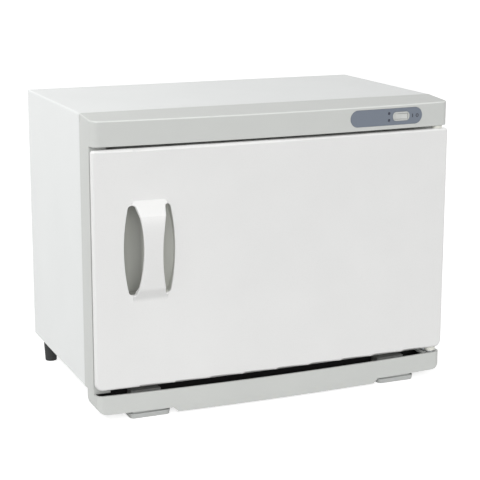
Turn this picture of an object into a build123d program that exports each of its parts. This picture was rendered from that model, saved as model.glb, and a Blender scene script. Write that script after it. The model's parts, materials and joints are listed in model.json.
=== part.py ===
from build123d import *
import math
import os

# Towel warmer and ultraviolet cabinet. Millimetres, +Z up, the door faces -Y.
# The origin is on the ground, in the middle of the overall width and depth.

# Painted steel case
CASE_WIDTH = 450.0
CASE_DEPTH = 227.0
CASE_TOP = 350.0
CASE_BOTTOM = 30.5
SHEET = 0.8
COVER_BEND = 2.0
COVER_RETURN = 12.0
PAN_EDGE = 6.0
REAR_RETURN = 10.0
REAR_RECESS = 2.0
REAR_SCREW_INSET = 5.5
PANEL_FIT = 0.2

# Moulded front frame
MOULDING_WALL = 2.5
BAR_REACH = 45.5
BAR_CORNER = 9.0
TOP_BAR_BOW = 7.7
TOP_BAR_HEIGHT = 32.3
TOP_BAR_FALL = 3.5
TOP_BAR_EDGE = 1.6
BOTTOM_BAR_BOW = 8.5
BOTTOM_BAR_BOTTOM = 2.4
BOTTOM_BAR_END_BOTTOM = 8.0
BOTTOM_BAR_END_CORNER = 13.0
HOLLOW_CORNER_DRAW = 1.2  # how much tighter the hollow's end corner is, in wall thicknesses
BOTTOM_BAR_STEP_FROM_SIDE = 97.0
BOTTOM_BAR_STEP_RUN = 6.0
COLUMN_WIDTH = 20.0
COLUMN_REACH = 35.0
LAND_REACH = 13.5
CORNER_RELIEF_WIDTH = 1.6
CORNER_RELIEF_DEPTH = 3.0
CORNER_RELIEF_HEIGHT = 9.0
FOOT_POST_WIDTH = 36.0
FOOT_POST_DEPTH = 16.0
FOOT_POST_TOP = 27.5
HINGE_DECK_WIDTH = 24.0
TROUGH_LINER_WALL = 0.9
TROUGH_LINER_FIT = 0.1
TROUGH_LINER_DROP = 5.0

# Chamber and its mouth
MOUTH_SIDE = 30.0
MOUTH_SILL = 19.5
MOUTH_HEAD = 50.0
MOUTH_CORNER = 5.0
CHAMBER_REAR_SPACE = 24.2
CHAMBER_SHEET = 0.8
CHAMBER_FLANGE = 8.5
JACKET_THICKNESS = 8.0
JACKET_CLEARANCE = 0.2
HEATER_THICKNESS = 1.5
HEATER_MARGIN = 25.0
HEATER_CORNER = 8.0

# Door
DOOR_OVERHANG = 0.5
DOOR_BOTTOM_GAP = 6.3
DOOR_TOP_GAP = 3.6
DOOR_REACH = 45.9
DOOR_BOW = 5.4
DOOR_WALL = 2.4
DOOR_RIM = 5.0
DOOR_EDGE = 3.2
DOOR_LOWER_CORNER = 9.0
DOOR_UPPER_CORNER = 3.6
DOOR_INNER_CORNER = 0.8
LINER_WALL = 1.8
LINER_FLANGE = 1.5
LINER_FIT = 0.2
PLUG_CATCH_SIDE_GAP = 3.2
PLUG_HINGE_SIDE_GAP = 1.7
PLUG_TOP_GAP = 8.5
PLUG_BOTTOM_GAP = 10.5
PLUG_LAND_GAP = 3.5
PLUG_CORNER = 4.0
GASKET_WIDTH = 4.5
GASKET_MOUTH_MARGIN = 1.6
SOFT_CLEARANCE = 0.3

# Handle
HANDLE_FROM_SIDE = 65.0
HANDLE_ABOVE_MIDDLE = 23.05
POCKET_HEIGHT = 103.0
POCKET_WIDTH = 60.4
POCKET_END_WIDTH = 48.8
POCKET_CORNER = 4.2
SCOOP_DEPTH = 21.0
SCOOP_OVERLAP = 2.0
STRAP_REACH = 16.0
STRAP_WALL = 3.2
STRAP_WAIST = 22.0
STRAP_END_WIDTH = 35.0
STRAP_END_ROUND = 2.2
STRAP_ROOT_WIDTH = 41.2
STRAP_ROOT_CORNER = 4.0
STRAP_TOP_RISE = 57.0
STRAP_BROW_RISE = 41.8
STRAP_BROW_REACH = 13.6
STRAP_BROW_RADIUS = 5.0
STRAP_CREST_RISE = 23.5
STRAP_CHIN_DROP = 44.5
STRAP_CHIN_REACH = 9.5
STRAP_CHIN_RADIUS = 10.0
STRAP_TOE_DROP = 54.9
STRAP_TOE_REACH = 1.9
STRAP_BOTTOM_DROP = 60.8
STRAP_EDGE = 1.0
CUP_WALL = 1.8
CUP_FLANGE = 5.0
CUP_FIT = 0.1

# Hinge
HINGE_FROM_SIDE = 12.0
HINGE_BEHIND_FRONT = 6.5
PIN_RADIUS = 3.0
PIN_RUNNING_FIT = 0.05
PIN_HEAD_RADIUS = 4.6
PIN_HEAD_HEIGHT = 1.6
PIN_ENGAGEMENT = 12.0
PIN_HOLE_CLEARANCE = 0.2
BUSH_RADIUS = 5.0
BUSH_FLANGE_RADIUS = 6.5
BUSH_LENGTH = 14.0
BUSH_FIT = 0.05
BUSH_END_PLAY = 0.3
BRACKET_THICKNESS = 2.0
BRACKET_WIDTH = 16.0
BRACKET_LEG = 16.0
BRACKET_CORNER = 7.6
HINGE_BOSS_WIDTH = 18.0
HINGE_BOSS_DEPTH = 11.0
HINGE_BOSS_HEIGHT = 18.0
HINGE_BOSS_SHIFT = 1.0

# Catch and lamp cut-off
CATCH_WIDTH = 11.0
CATCH_HEIGHT = 36.0
CATCH_GAP = 0.5
CATCH_CORNER = 1.0
STRIKER_THICKNESS = 0.8
STRIKER_MARGIN = 1.5
CUTOFF_BELOW_DOOR_TOP = 52.1
PLUNGER_RADIUS = 2.5
PLUNGER_FIT = 0.1
PLUNGER_TRAVEL = 3.0
PLUNGER_COLLAR_RADIUS = 3.6
PLUNGER_COLLAR = 1.5
CUTOFF_BODY_WIDTH = 10.0
CUTOFF_BODY_DEPTH = 10.0
CUTOFF_BODY_HEIGHT = 20.0
PLUNGER_END_PLAY = 0.5
TAB_THICKNESS = 0.8
TAB_LENGTH = 4.0
TAB_WIDTH = 4.0

# Control panel
PLATE_FROM_SIDE = 87.0
PLATE_BELOW_TOP = 17.6
PLATE_WIDTH = 98.0
PLATE_HEIGHT = 19.8
PLATE_THICKNESS = 1.0
PLATE_PROUD = 0.2
PLATE_FIT = 0.15
SEAT_GAP = 0.08
SWITCH_FROM_PLATE_MIDDLE = 19.7
BEZEL_WIDTH = 22.8
BEZEL_HEIGHT = 10.7
BEZEL_CORNER = 4.6
BEZEL_PROUD = 0.7
SWITCH_BODY_WIDTH = 19.6
SWITCH_BODY_HEIGHT = 8.6
SWITCH_BODY_DEPTH = 17.0
ROCKER_WIDTH = 16.4
ROCKER_HEIGHT = 6.2
ROCKER_PIVOT_DEPTH = 3.5
ROCKER_END_PROUD = 1.5
ROCKER_MIDDLE_PROUD = 0.6
ROCKER_ROOT_DEPTH = 5.0
ROCKER_ROOT_BELLY = 2.5
ROCKER_TILT = 8.0
ROCKER_GAP = 0.35
LAMP_LENS_FROM_PLATE_MIDDLE = 3.0
LAMP_LENS_PITCH = 8.2
LAMP_LENS_RADIUS = 1.6
BOARD_WIDTH = 32.0
BOARD_HEIGHT = 15.0
BOARD_THICKNESS = 1.6
BOARD_DEPTH = 9.0
BOARD_POST_RADIUS = 2.5
BOARD_POST_PITCH = 13.0

# Inside the chamber
RACK_SIDE_GAP = 6.0
RACK_REAR_GAP = 16.0
RACK_CORNER = 14.0
RACK_FRAME_RADIUS = 2.0
RACK_WIRE_RADIUS = 1.3
RACK_WIRE_LIFT = 1.4
RACK_WIRES = 11
RACK_HEIGHT_SHARES = (0.168, 0.528)
RAIL_WIDTH = 10.0
RAIL_LEG = 8.0
RAIL_THICKNESS = 1.0
TRAY_HEIGHT = 12.0
TRAY_WALL = 1.2
TRAY_SIDE_GAP = 3.0
TRAY_CORNER = 10.0
LAMP_RADIUS = 7.75
LAMP_LENGTH = 288.0
LAMP_CAP_RADIUS = 8.0
LAMP_CAP_LENGTH = 9.0
LAMP_FROM_REAR = 33.0
LAMP_BELOW_CEILING = 18.0
LAMP_HOLDER_WIDTH = 9.0
LAMP_HOLDER_DEPTH = 20.0
LAMP_HOLDER_CHIN = 2.0
GUARD_GAP = 6.0
GUARD_SHEET = 0.8
GUARD_SLOTS = 9
GUARD_SLOT_LENGTH = 22.0
GUARD_SLOT_WIDTH = 8.0

# Electrical pieces behind the chamber
BALLAST_WIDTH = 84.0
BALLAST_DEPTH = 38.0
BALLAST_HEIGHT = 20.0
BALLAST_X = -60.0
BALLAST_CORNER = 2.0
TERMINAL_WIDTH = 34.0
TERMINAL_DEPTH = 12.0
TERMINAL_HEIGHT = 15.0
TERMINAL_FROM_SIDE = 105.0
TERMINAL_WAYS = 3
TERMINAL_BORE = 2.2
CORD_INLET_FROM_SIDE = 53.0
CORD_INLET_BORE = 4.0
GROMMET_NECK = 7.0
GROMMET_RIM = 9.5
GROMMET_RIM_THICKNESS = 2.4
GROMMET_FIT = 0.1
THERMOSTAT_RADIUS = 8.0
THERMOSTAT_FLANGE_RADIUS = 12.0
THERMOSTAT_HEIGHT = 8.0
THERMOSTAT_FLANGE = 1.0
STANDOFF_RADIUS = 4.0
STANDOFF_INSET = 45.0
STANDOFF_END_INSET = 35.0
VENT_ROWS = 7
VENT_PITCH = 9.0
VENT_LENGTH = 60.0
VENT_WIDTH = 3.0
VENT_FROM_SIDE = 115.0
VENT_ABOVE_BOTTOM = 79.5

# Feet and screws
FRONT_FOOT_FROM_SIDE = 64.0
FRONT_FOOT_WIDTH = 50.0
FRONT_FOOT_DEPTH = 26.0
FRONT_FOOT_SETBACK = 0.4
FRONT_FOOT_PAD = 5.6
FRONT_FOOT_NECK_INSET = 3.5
FRONT_FOOT_TAPER = 8.0
REAR_FOOT_FROM_SIDE = 13.5
REAR_FOOT_FROM_BACK = 27.0
REAR_FOOT_TOP_RADIUS = 9.2
REAR_FOOT_BOTTOM_RADIUS = 7.3
SCREW_RADIUS = 1.9
SCREW_HEAD_RADIUS = 3.6
SCREW_HEAD_HEIGHT = 1.8
SCREW_HEAD_BEVEL = 0.8
SCREW_CLEARANCE = 0.25

# Places across the width and up the height, worked out from the sizes above
case_half = CASE_WIDTH / 2
case_middle = (CASE_TOP + CASE_BOTTOM) / 2
top_bar_bottom = CASE_TOP - TOP_BAR_HEIGHT
top_bar_front_top = CASE_TOP - TOP_BAR_FALL
bottom_bar_step_x = case_half - BOTTOM_BAR_STEP_FROM_SIDE
door_width = CASE_WIDTH + 2 * DOOR_OVERHANG
door_half = door_width / 2
door_bottom = CASE_BOTTOM + DOOR_BOTTOM_GAP
door_top = top_bar_bottom - DOOR_TOP_GAP
hinge_x = case_half - HINGE_FROM_SIDE
handle_x = -(case_half - HANDLE_FROM_SIDE)
handle_z = (door_top + door_bottom) / 2 + HANDLE_ABOVE_MIDDLE
cutoff_z = door_top - CUTOFF_BELOW_DOOR_TOP
mouth_width = CASE_WIDTH - 2 * MOUTH_SIDE
mouth_half = mouth_width / 2
mouth_bottom = CASE_BOTTOM + MOUTH_SILL
mouth_top = CASE_TOP - MOUTH_HEAD
mouth_height = mouth_top - mouth_bottom
mouth_middle = (mouth_top + mouth_bottom) / 2
plate_x = case_half - PLATE_FROM_SIDE
plate_z = CASE_TOP - PLATE_BELOW_TOP
switch_x = plate_x + SWITCH_FROM_PLATE_MIDDLE
lamp_lens_x = plate_x + LAMP_LENS_FROM_PLATE_MIDDLE
rack_width = mouth_width - 2 * RACK_SIDE_GAP
rack_heights = [mouth_bottom + share * mouth_height for share in RACK_HEIGHT_SHARES]
terminal_x = case_half - TERMINAL_FROM_SIDE
cord_inlet_x = case_half - CORD_INLET_FROM_SIDE
standoff_x = mouth_half - STANDOFF_INSET
standoff_zs = (mouth_bottom + STANDOFF_END_INSET, mouth_top - STANDOFF_END_INSET)
vent_x = case_half - VENT_FROM_SIDE
vent_z = CASE_BOTTOM + VENT_ABOVE_BOTTOM
front_foot_x = case_half - FRONT_FOOT_FROM_SIDE
rear_foot_x = case_half - REAR_FOOT_FROM_SIDE


def arc_radius(half_width, bow):
    """Radius of an arc that rises by bow over twice the half width."""
    return (half_width**2 + bow**2) / (2 * bow)


def arc_drop(x, half_width, bow):
    """How far the arc has fallen back from its middle, at x."""
    radius = arc_radius(half_width, bow)
    return radius - math.sqrt(radius**2 - x**2)


# Places from front to back
handle_stand_off = DOOR_REACH + DOOR_BOW - arc_drop(handle_x, door_half, DOOR_BOW)
case_front = (handle_stand_off + STRAP_REACH - CASE_DEPTH) / 2
case_rear = case_front + CASE_DEPTH
bar_front = case_front - BAR_REACH
door_front = case_front - DOOR_REACH
door_rim_rear = door_front + DOOR_RIM
column_front = case_front - COLUMN_REACH
land_front = case_front - LAND_REACH
land_rear = land_front + MOULDING_WALL
handle_face = case_front - handle_stand_off
hinge_y = door_front + HINGE_BEHIND_FRONT
column_inner = case_half - COLUMN_WIDTH
plug_rear = land_front - PLUG_LAND_GAP
plug_left = -(column_inner - PLUG_CATCH_SIDE_GAP)
plug_right = column_inner - PLUG_HINGE_SIDE_GAP
plug_bottom = CASE_BOTTOM + PLUG_BOTTOM_GAP
plug_top = top_bar_bottom - PLUG_TOP_GAP
rear_panel_rear = case_rear - REAR_RECESS
rear_panel_front = rear_panel_rear - SHEET
chamber_front = land_rear
chamber_rear = rear_panel_front - CHAMBER_REAR_SPACE
chamber_depth = chamber_rear - chamber_front
rack_depth = chamber_depth - MOUTH_CORNER - RACK_REAR_GAP
top_space_middle = (CASE_TOP + mouth_top + JACKET_THICKNESS) / 2

# Longer than any side of the cabinet, for cuts that go right through
BEYOND = 400.0
# How near to a level a corner lies when it is picked by that level
NEAR = 0.1
# How far a cut runs past the face that it opens
PAST = 1.0


def front_plane(y):
    """A plane at depth y that looks out of the front: local x is +X and local y is +Z."""
    return Plane.XZ.offset(-y)


def block(x_range, y_range, z_range, mode=Mode.ADD):
    """A box between two values on each axis, given to the builder around it."""
    sizes = [high - low for low, high in (x_range, y_range, z_range)]
    middle = [(high + low) / 2 for low, high in (x_range, y_range, z_range)]
    with Locations(tuple(middle)):
        Box(*sizes, mode=mode)


def bar_plan(bow, rear, inset):
    """Plan of a front bar: straight back and ends, bowed front and rounded front corners."""
    half = case_half - inset
    front = bar_front + inset
    with BuildSketch() as plan:
        with BuildLine():
            Polyline((-half, front), (-half, rear), (half, rear), (half, front))
            ThreePointArc((half, front), (0, front - bow), (-half, front))
        make_face()
        fillet(plan.vertices().group_by(Axis.Y)[0], BAR_CORNER - inset)
    return plan.sketch


def bottom_bar_form(inset, rear, top):
    """The bottom bar as a closed form, drawn in by inset from its outside."""
    half = case_half - inset
    end_bottom = BOTTOM_BAR_END_BOTTOM + inset
    bottom = BOTTOM_BAR_BOTTOM + inset
    step = bottom_bar_step_x - inset
    step_end = step + BOTTOM_BAR_STEP_RUN
    plan = bar_plan(BOTTOM_BAR_BOW, rear, inset)
    with BuildPart() as form:
        with BuildSketch(Plane.XY.offset(bottom)):
            add(plan)
        extrude(amount=top - bottom)
        with BuildSketch(front_plane(case_front)) as elevation:
            with BuildLine():
                Polyline(
                    (-half, top), (-half, end_bottom), (-step_end, end_bottom), (-step, bottom),
                    (step, bottom), (step_end, end_bottom), (half, end_bottom), (half, top), close=True,
                )
            make_face()
            lower_ends = elevation.vertices().filter_by_position(Axis.Y, end_bottom - NEAR, end_bottom + NEAR)
            outer_ends = [lower_ends.sort_by(Axis.X)[0], lower_ends.sort_by(Axis.X)[-1]]
            fillet(outer_ends, BOTTOM_BAR_END_CORNER - HOLLOW_CORNER_DRAW * inset)
        extrude(amount=BEYOND, both=True, mode=Mode.INTERSECT)
    return form.part


def door_form(inset, rear):
    """The door's bowed block, drawn in by inset and cut off at its back."""
    half = door_half - inset
    front = door_front + inset
    low = door_bottom + inset
    high = door_top - inset
    with BuildPart() as form:
        with BuildSketch(Plane.XY.offset(low)):
            with BuildLine():
                Polyline((-half, front), (-half, rear), (half, rear), (half, front))
                ThreePointArc((half, front), (0, front - DOOR_BOW), (-half, front))
            make_face()
        extrude(amount=high - low)
        corners = form.edges().filter_by(Axis.Y)
        fillet(corners.group_by(Axis.Z)[0], max(DOOR_LOWER_CORNER - inset, DOOR_INNER_CORNER))
        upper_corners = form.edges().filter_by(Axis.Y).group_by(Axis.Z)[-1]
        fillet(upper_corners, max(DOOR_UPPER_CORNER - inset, DOOR_INNER_CORNER))
    return form.part


def tangent_plane(x, z, depth=0.0):
    """A plane that lies on the top bar's bowed front at x and z, or depth behind it."""
    radius = arc_radius(case_half, TOP_BAR_BOW)
    lean = x / radius
    upright = math.sqrt(1 - lean**2)
    surface_y = bar_front - TOP_BAR_BOW + arc_drop(x, case_half, TOP_BAR_BOW)
    return Plane(origin=(x, surface_y, z), x_dir=(upright, lean, 0), z_dir=(lean, -upright, 0)).offset(-depth)


def pocket_outline(grow):
    """The handle pocket's barrel outline in front view, grown by an amount."""
    half_height = POCKET_HEIGHT / 2 + grow
    side = POCKET_WIDTH / 2 + grow
    end = POCKET_END_WIDTH / 2 + grow
    with BuildSketch() as outline:
        with BuildLine():
            Line((-end, -half_height), (end, -half_height))
            ThreePointArc((end, -half_height), (side, 0), (end, half_height))
            Line((end, half_height), (-end, half_height))
            ThreePointArc((-end, half_height), (-side, 0), (-end, -half_height))
        make_face()
        fillet(outline.vertices(), POCKET_CORNER + grow)
    return outline.sketch


def pocket_form(grow):
    """The handle pocket as a solid: its outline met by a scoop that runs up and down."""
    outline = pocket_outline(grow)
    scoop_half = POCKET_WIDTH / 2 + SCOOP_OVERLAP + grow
    with BuildPart() as form:
        with BuildSketch(front_plane(handle_face)):
            with Locations((handle_x, handle_z)):
                add(outline)
        extrude(amount=BEYOND, both=True)
        with BuildSketch(Plane.XY.offset(handle_z - POCKET_HEIGHT)):
            with BuildLine():
                Polyline(
                    (handle_x - scoop_half, handle_face),
                    (handle_x - scoop_half, handle_face - DOOR_WALL),
                    (handle_x + scoop_half, handle_face - DOOR_WALL),
                    (handle_x + scoop_half, handle_face),
                )
                ThreePointArc(
                    (handle_x + scoop_half, handle_face),
                    (handle_x, handle_face + SCOOP_DEPTH + grow),
                    (handle_x - scoop_half, handle_face),
                )
            make_face()
        extrude(amount=2 * POCKET_HEIGHT, mode=Mode.INTERSECT)
    return form.part


def plate_form(grow, front_inset, back_inset):
    """A stadium that follows the top bar's bow between two depths under its surface."""
    front = bar_plan(TOP_BAR_BOW, case_front, front_inset)
    back = bar_plan(TOP_BAR_BOW, case_front, back_inset)
    with BuildPart() as form:
        with BuildSketch(Plane.XY.offset(top_bar_bottom)):
            add(front)
        extrude(amount=CASE_TOP - top_bar_bottom)
        with BuildSketch(Plane.XY.offset(top_bar_bottom)):
            add(back)
        extrude(amount=CASE_TOP - top_bar_bottom, mode=Mode.SUBTRACT)
        with BuildSketch(tangent_plane(plate_x, plate_z)):
            SlotOverall(PLATE_WIDTH + 2 * grow, PLATE_HEIGHT + 2 * grow)
        extrude(amount=5 * PLATE_THICKNESS, both=True, mode=Mode.INTERSECT)
    return form.part


os.makedirs("parts", exist_ok=True)

# Outer cover: top and sides folded from one sheet, with returns under the sides and round the back
with BuildPart() as outer_cover:
    with BuildSketch(front_plane(case_front)) as cover_profile:
        with Locations((0, case_middle)):
            Rectangle(CASE_WIDTH, CASE_TOP - CASE_BOTTOM)
        fillet(cover_profile.vertices().group_by(Axis.Y)[-1], COVER_BEND)
        with Locations((0, case_middle - SHEET)):
            Rectangle(CASE_WIDTH - 2 * SHEET, CASE_TOP - CASE_BOTTOM, mode=Mode.SUBTRACT)
        inner_top = CASE_TOP - SHEET
        inner_bends = cover_profile.vertices().filter_by_position(Axis.Y, inner_top - NEAR, inner_top + NEAR)
        fillet(inner_bends, COVER_BEND - SHEET)
    extrude(amount=-CASE_DEPTH)
    for side in (-1, 1):
        return_middle = side * (case_half - COVER_RETURN / 2)
        with Locations((return_middle, (case_front + case_rear) / 2, CASE_BOTTOM + SHEET / 2)):
            Box(COVER_RETURN, CASE_DEPTH, SHEET)
    with BuildSketch(front_plane(rear_panel_front - SHEET)):
        with Locations((0, case_middle)):
            Rectangle(CASE_WIDTH - SHEET, CASE_TOP - CASE_BOTTOM - SHEET)
            Rectangle(
                CASE_WIDTH - 2 * REAR_RETURN, CASE_TOP - CASE_BOTTOM - 2 * REAR_RETURN, mode=Mode.SUBTRACT
            )
    extrude(amount=-SHEET)
outer_cover.part.label = "outer_cover"
export_step(outer_cover.part, "parts/outer_cover.step")

# Rear panel, set into the cover against its rear return
rear_screw_x = case_half - REAR_SCREW_INSET
rear_screw_top = CASE_TOP - REAR_SCREW_INSET
rear_screw_bottom = CASE_BOTTOM + REAR_SCREW_INSET
rear_screw_places = [
    (side * rear_screw_x * share, height)
    for height in (rear_screw_top, rear_screw_bottom)
    for side in (-1, 1)
    for share in (1.0, 1 / 3)
]
rear_panel_margin = SHEET + PANEL_FIT
with BuildPart() as rear_panel:
    with BuildSketch(front_plane(rear_panel_front)):
        with Locations((0, case_middle)):
            RectangleRounded(
                CASE_WIDTH - 2 * rear_panel_margin, CASE_TOP - CASE_BOTTOM - 2 * rear_panel_margin, COVER_BEND
            )
        with Locations((-vent_x, vent_z), (vent_x, vent_z)):
            with GridLocations(0, VENT_PITCH, 1, VENT_ROWS):
                SlotOverall(VENT_LENGTH, VENT_WIDTH, mode=Mode.SUBTRACT)
        with Locations((cord_inlet_x, top_space_middle)):
            Circle(GROMMET_NECK + GROMMET_FIT, mode=Mode.SUBTRACT)
        with Locations(*rear_screw_places):
            Circle(SCREW_RADIUS + SCREW_CLEARANCE, mode=Mode.SUBTRACT)
    extrude(amount=-SHEET)
rear_panel.part.label = "rear_panel"
export_step(rear_panel.part, "parts/rear_panel.step")

# Base pan: rests on the cover's side returns and reaches forward to the frame's land
pan_bottom = CASE_BOTTOM + SHEET
pan_front = land_rear + PANEL_FIT
pan_rear = rear_panel_front - SHEET - PANEL_FIT
pan_middle_y = (case_front + pan_rear) / 2
with BuildPart() as base_pan:
    block(
        (-case_half + SHEET + PANEL_FIT, case_half - SHEET - PANEL_FIT),
        (case_front + PANEL_FIT, pan_rear),
        (pan_bottom, pan_bottom + SHEET),
    )
    block(
        (-column_inner + PANEL_FIT, column_inner - PANEL_FIT),
        (pan_front, case_front + CASE_DEPTH / 2),
        (pan_bottom, pan_bottom + SHEET),
    )
    for edge_y in (pan_front, pan_rear - SHEET):
        block((-mouth_half, mouth_half), (edge_y, edge_y + SHEET), (pan_bottom, pan_bottom + PAN_EDGE))
    with BuildSketch(Plane.XY.offset(pan_bottom)):
        with Locations((-vent_x, pan_middle_y), (vent_x, pan_middle_y)):
            with GridLocations(0, VENT_PITCH, 1, VENT_ROWS):
                SlotOverall(VENT_LENGTH, VENT_WIDTH)
    extrude(amount=SHEET, mode=Mode.SUBTRACT)
base_pan.part.label = "base_pan"
export_step(base_pan.part, "parts/base_pan.step")

# Forms and planes used by the front frame
top_bar_outer = bar_plan(TOP_BAR_BOW, case_front, 0)
top_bar_inner = bar_plan(TOP_BAR_BOW, case_front + MOULDING_WALL, MOULDING_WALL)
bottom_bar_outer = bottom_bar_form(0, land_rear, CASE_BOTTOM)
bottom_bar_inner = bottom_bar_form(MOULDING_WALL, land_front, CASE_BOTTOM + MOULDING_WALL)
switch_face = tangent_plane(switch_x, plate_z)
plate_seat = PLATE_THICKNESS - PLATE_PROUD
plate_recess = plate_form(PLATE_FIT, -PLATE_PROUD, plate_seat)
lens_face = tangent_plane(lamp_lens_x, plate_z)
lens_places = [(0, LAMP_LENS_PITCH / 2), (0, -LAMP_LENS_PITCH / 2)]
board_x = lamp_lens_x - BOARD_WIDTH / 2 + 2 * LAMP_LENS_RADIUS
board_face = tangent_plane(board_x, plate_z, BOARD_DEPTH)
cavity_top = top_bar_front_top - MOULDING_WALL
catch_bottom = handle_z - CATCH_HEIGHT / 2
catch_top = handle_z + CATCH_HEIGHT / 2
catch_x = -(case_half - COLUMN_WIDTH / 2)
plunger_x = -(case_half - MOULDING_WALL - CUTOFF_BODY_WIDTH / 2)

# Front frame: one moulding with a top bar, a drip trough below, a sealing land and the catch column
with BuildPart() as front_frame:
    with BuildSketch(Plane.XY.offset(top_bar_bottom)):
        add(top_bar_outer)
    extrude(amount=CASE_TOP - top_bar_bottom)
    with BuildSketch(Plane.YZ):
        with BuildLine():
            Polyline(
                (case_front, CASE_TOP),
                (bar_front, top_bar_front_top),
                (bar_front - BAR_REACH, 2 * top_bar_front_top - CASE_TOP),
                (bar_front - BAR_REACH, CASE_TOP),
                close=True,
            )
        make_face()
    extrude(amount=CASE_WIDTH, both=True, mode=Mode.SUBTRACT)
    front_top_edges = front_frame.faces().sort_by(Axis.Z)[-1].edges().filter_by_position(
        Axis.Y, bar_front - BAR_REACH, case_front - BAR_CORNER
    )
    fillet(front_top_edges, TOP_BAR_EDGE)
    with BuildSketch(Plane.XY.offset(top_bar_bottom + MOULDING_WALL)):
        add(top_bar_inner)
    extrude(amount=cavity_top - top_bar_bottom - MOULDING_WALL, mode=Mode.SUBTRACT)
    for side in (-1, 1):
        with Locations((side * case_half, case_front, CASE_TOP - CORNER_RELIEF_HEIGHT / 2)):
            Box(2 * CORNER_RELIEF_DEPTH, 2 * CORNER_RELIEF_WIDTH, CORNER_RELIEF_HEIGHT, mode=Mode.SUBTRACT)
    add(bottom_bar_outer)
    add(bottom_bar_inner, mode=Mode.SUBTRACT)
    hinge_deck_left = case_half - HINGE_DECK_WIDTH
    block(
        (hinge_deck_left, case_half - MOULDING_WALL / 2),
        (bar_front + BAR_CORNER / 2, land_front),
        (CASE_BOTTOM - MOULDING_WALL, CASE_BOTTOM),
    )
    block((-case_half, case_half), (land_front, land_rear), (CASE_BOTTOM, top_bar_bottom))
    block((-case_half, -column_inner), (column_front, case_front), (CASE_BOTTOM, top_bar_bottom))
    block((case_half - MOULDING_WALL, case_half), (land_front, case_front), (CASE_BOTTOM, top_bar_bottom))
    block((column_inner, case_half), (land_front, case_front), (CASE_BOTTOM, CASE_BOTTOM + MOULDING_WALL))
    block(
        (-case_half + MOULDING_WALL, -column_inner - MOULDING_WALL),
        (column_front + MOULDING_WALL, case_front),
        (CASE_BOTTOM + MOULDING_WALL, top_bar_bottom),
        mode=Mode.SUBTRACT,
    )
    block(
        (-column_inner - MOULDING_WALL, column_inner),
        (land_rear, case_front),
        (CASE_BOTTOM + MOULDING_WALL, top_bar_bottom),
        mode=Mode.SUBTRACT,
    )
    with BuildSketch(front_plane(land_rear)):
        with Locations((0, mouth_middle)):
            RectangleRounded(mouth_width, mouth_height, MOUTH_CORNER)
    extrude(amount=2 * MOULDING_WALL, mode=Mode.SUBTRACT)
    add(plate_recess, mode=Mode.SUBTRACT)
    with BuildSketch(switch_face):
        Rectangle(SWITCH_BODY_WIDTH + 2 * PLATE_FIT, SWITCH_BODY_HEIGHT + 2 * PLATE_FIT)
    extrude(amount=-2 * MOULDING_WALL, mode=Mode.SUBTRACT)
    with BuildSketch(lens_face):
        with Locations(*lens_places):
            Circle(LAMP_LENS_RADIUS + PLATE_FIT)
    extrude(amount=-2 * MOULDING_WALL, mode=Mode.SUBTRACT)
    with BuildSketch(board_face):
        with Locations((-LAMP_LENS_RADIUS, 0)):
            with GridLocations(BOARD_POST_PITCH, 0, 2, 1):
                Circle(BOARD_POST_RADIUS)
    extrude(amount=BOARD_DEPTH - MOULDING_WALL / 2 - PLATE_THICKNESS)
    with Locations((hinge_x, hinge_y, top_bar_bottom), (hinge_x, hinge_y, CASE_BOTTOM - MOULDING_WALL)):
        Cylinder(PIN_RADIUS + PIN_HOLE_CLEARANCE, 4 * MOULDING_WALL, mode=Mode.SUBTRACT)
    with BuildSketch(front_plane(column_front)):
        with Locations((plunger_x, cutoff_z)):
            Circle(PLUNGER_RADIUS + PLUNGER_FIT)
    extrude(amount=-2 * MOULDING_WALL, mode=Mode.SUBTRACT)
front_frame.part.label = "front_frame"
export_step(front_frame.part, "parts/front_frame.step")

# Foot posts: moulded blocks that stand in the trough above the front feet
post_front = land_front - MOULDING_WALL - FOOT_POST_DEPTH
post_rear = land_front - MOULDING_WALL
post_bottom = BOTTOM_BAR_END_BOTTOM + MOULDING_WALL
with BuildPart() as foot_posts:
    for side in (-1, 1):
        post_middle = side * front_foot_x
        block(
            (post_middle - FOOT_POST_WIDTH / 2, post_middle + FOOT_POST_WIDTH / 2),
            (post_front, post_rear),
            (post_bottom, FOOT_POST_TOP),
        )
foot_posts.part.label = "foot_posts"
export_step(foot_posts.part, "parts/foot_posts.step")

# Trough liner: thin dark drip tray that lies in the bottom bar, open round the foot posts
trough_liner_top = CASE_BOTTOM - TROUGH_LINER_DROP
trough_liner_inset = MOULDING_WALL + TROUGH_LINER_FIT
trough_liner_rear = land_front - TROUGH_LINER_FIT
post_clear_half = FOOT_POST_WIDTH / 2 + TROUGH_LINER_FIT
trough_liner_outside = bottom_bar_form(trough_liner_inset, trough_liner_rear, trough_liner_top)
trough_liner_inside = bottom_bar_form(
    trough_liner_inset + TROUGH_LINER_WALL, trough_liner_rear - TROUGH_LINER_WALL, CASE_BOTTOM
)
with BuildPart() as trough_liner:
    add(trough_liner_outside)
    add(trough_liner_inside, mode=Mode.SUBTRACT)
    for side in (-1, 1):
        post_middle = side * front_foot_x
        block(
            (post_middle - post_clear_half, post_middle + post_clear_half),
            (post_front - TROUGH_LINER_FIT, post_rear + TROUGH_LINER_FIT),
            (BOTTOM_BAR_BOTTOM, CASE_BOTTOM),
            mode=Mode.SUBTRACT,
        )
trough_liner.part.label = "trough_liner"
export_step(trough_liner.part, "parts/trough_liner.step")

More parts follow.
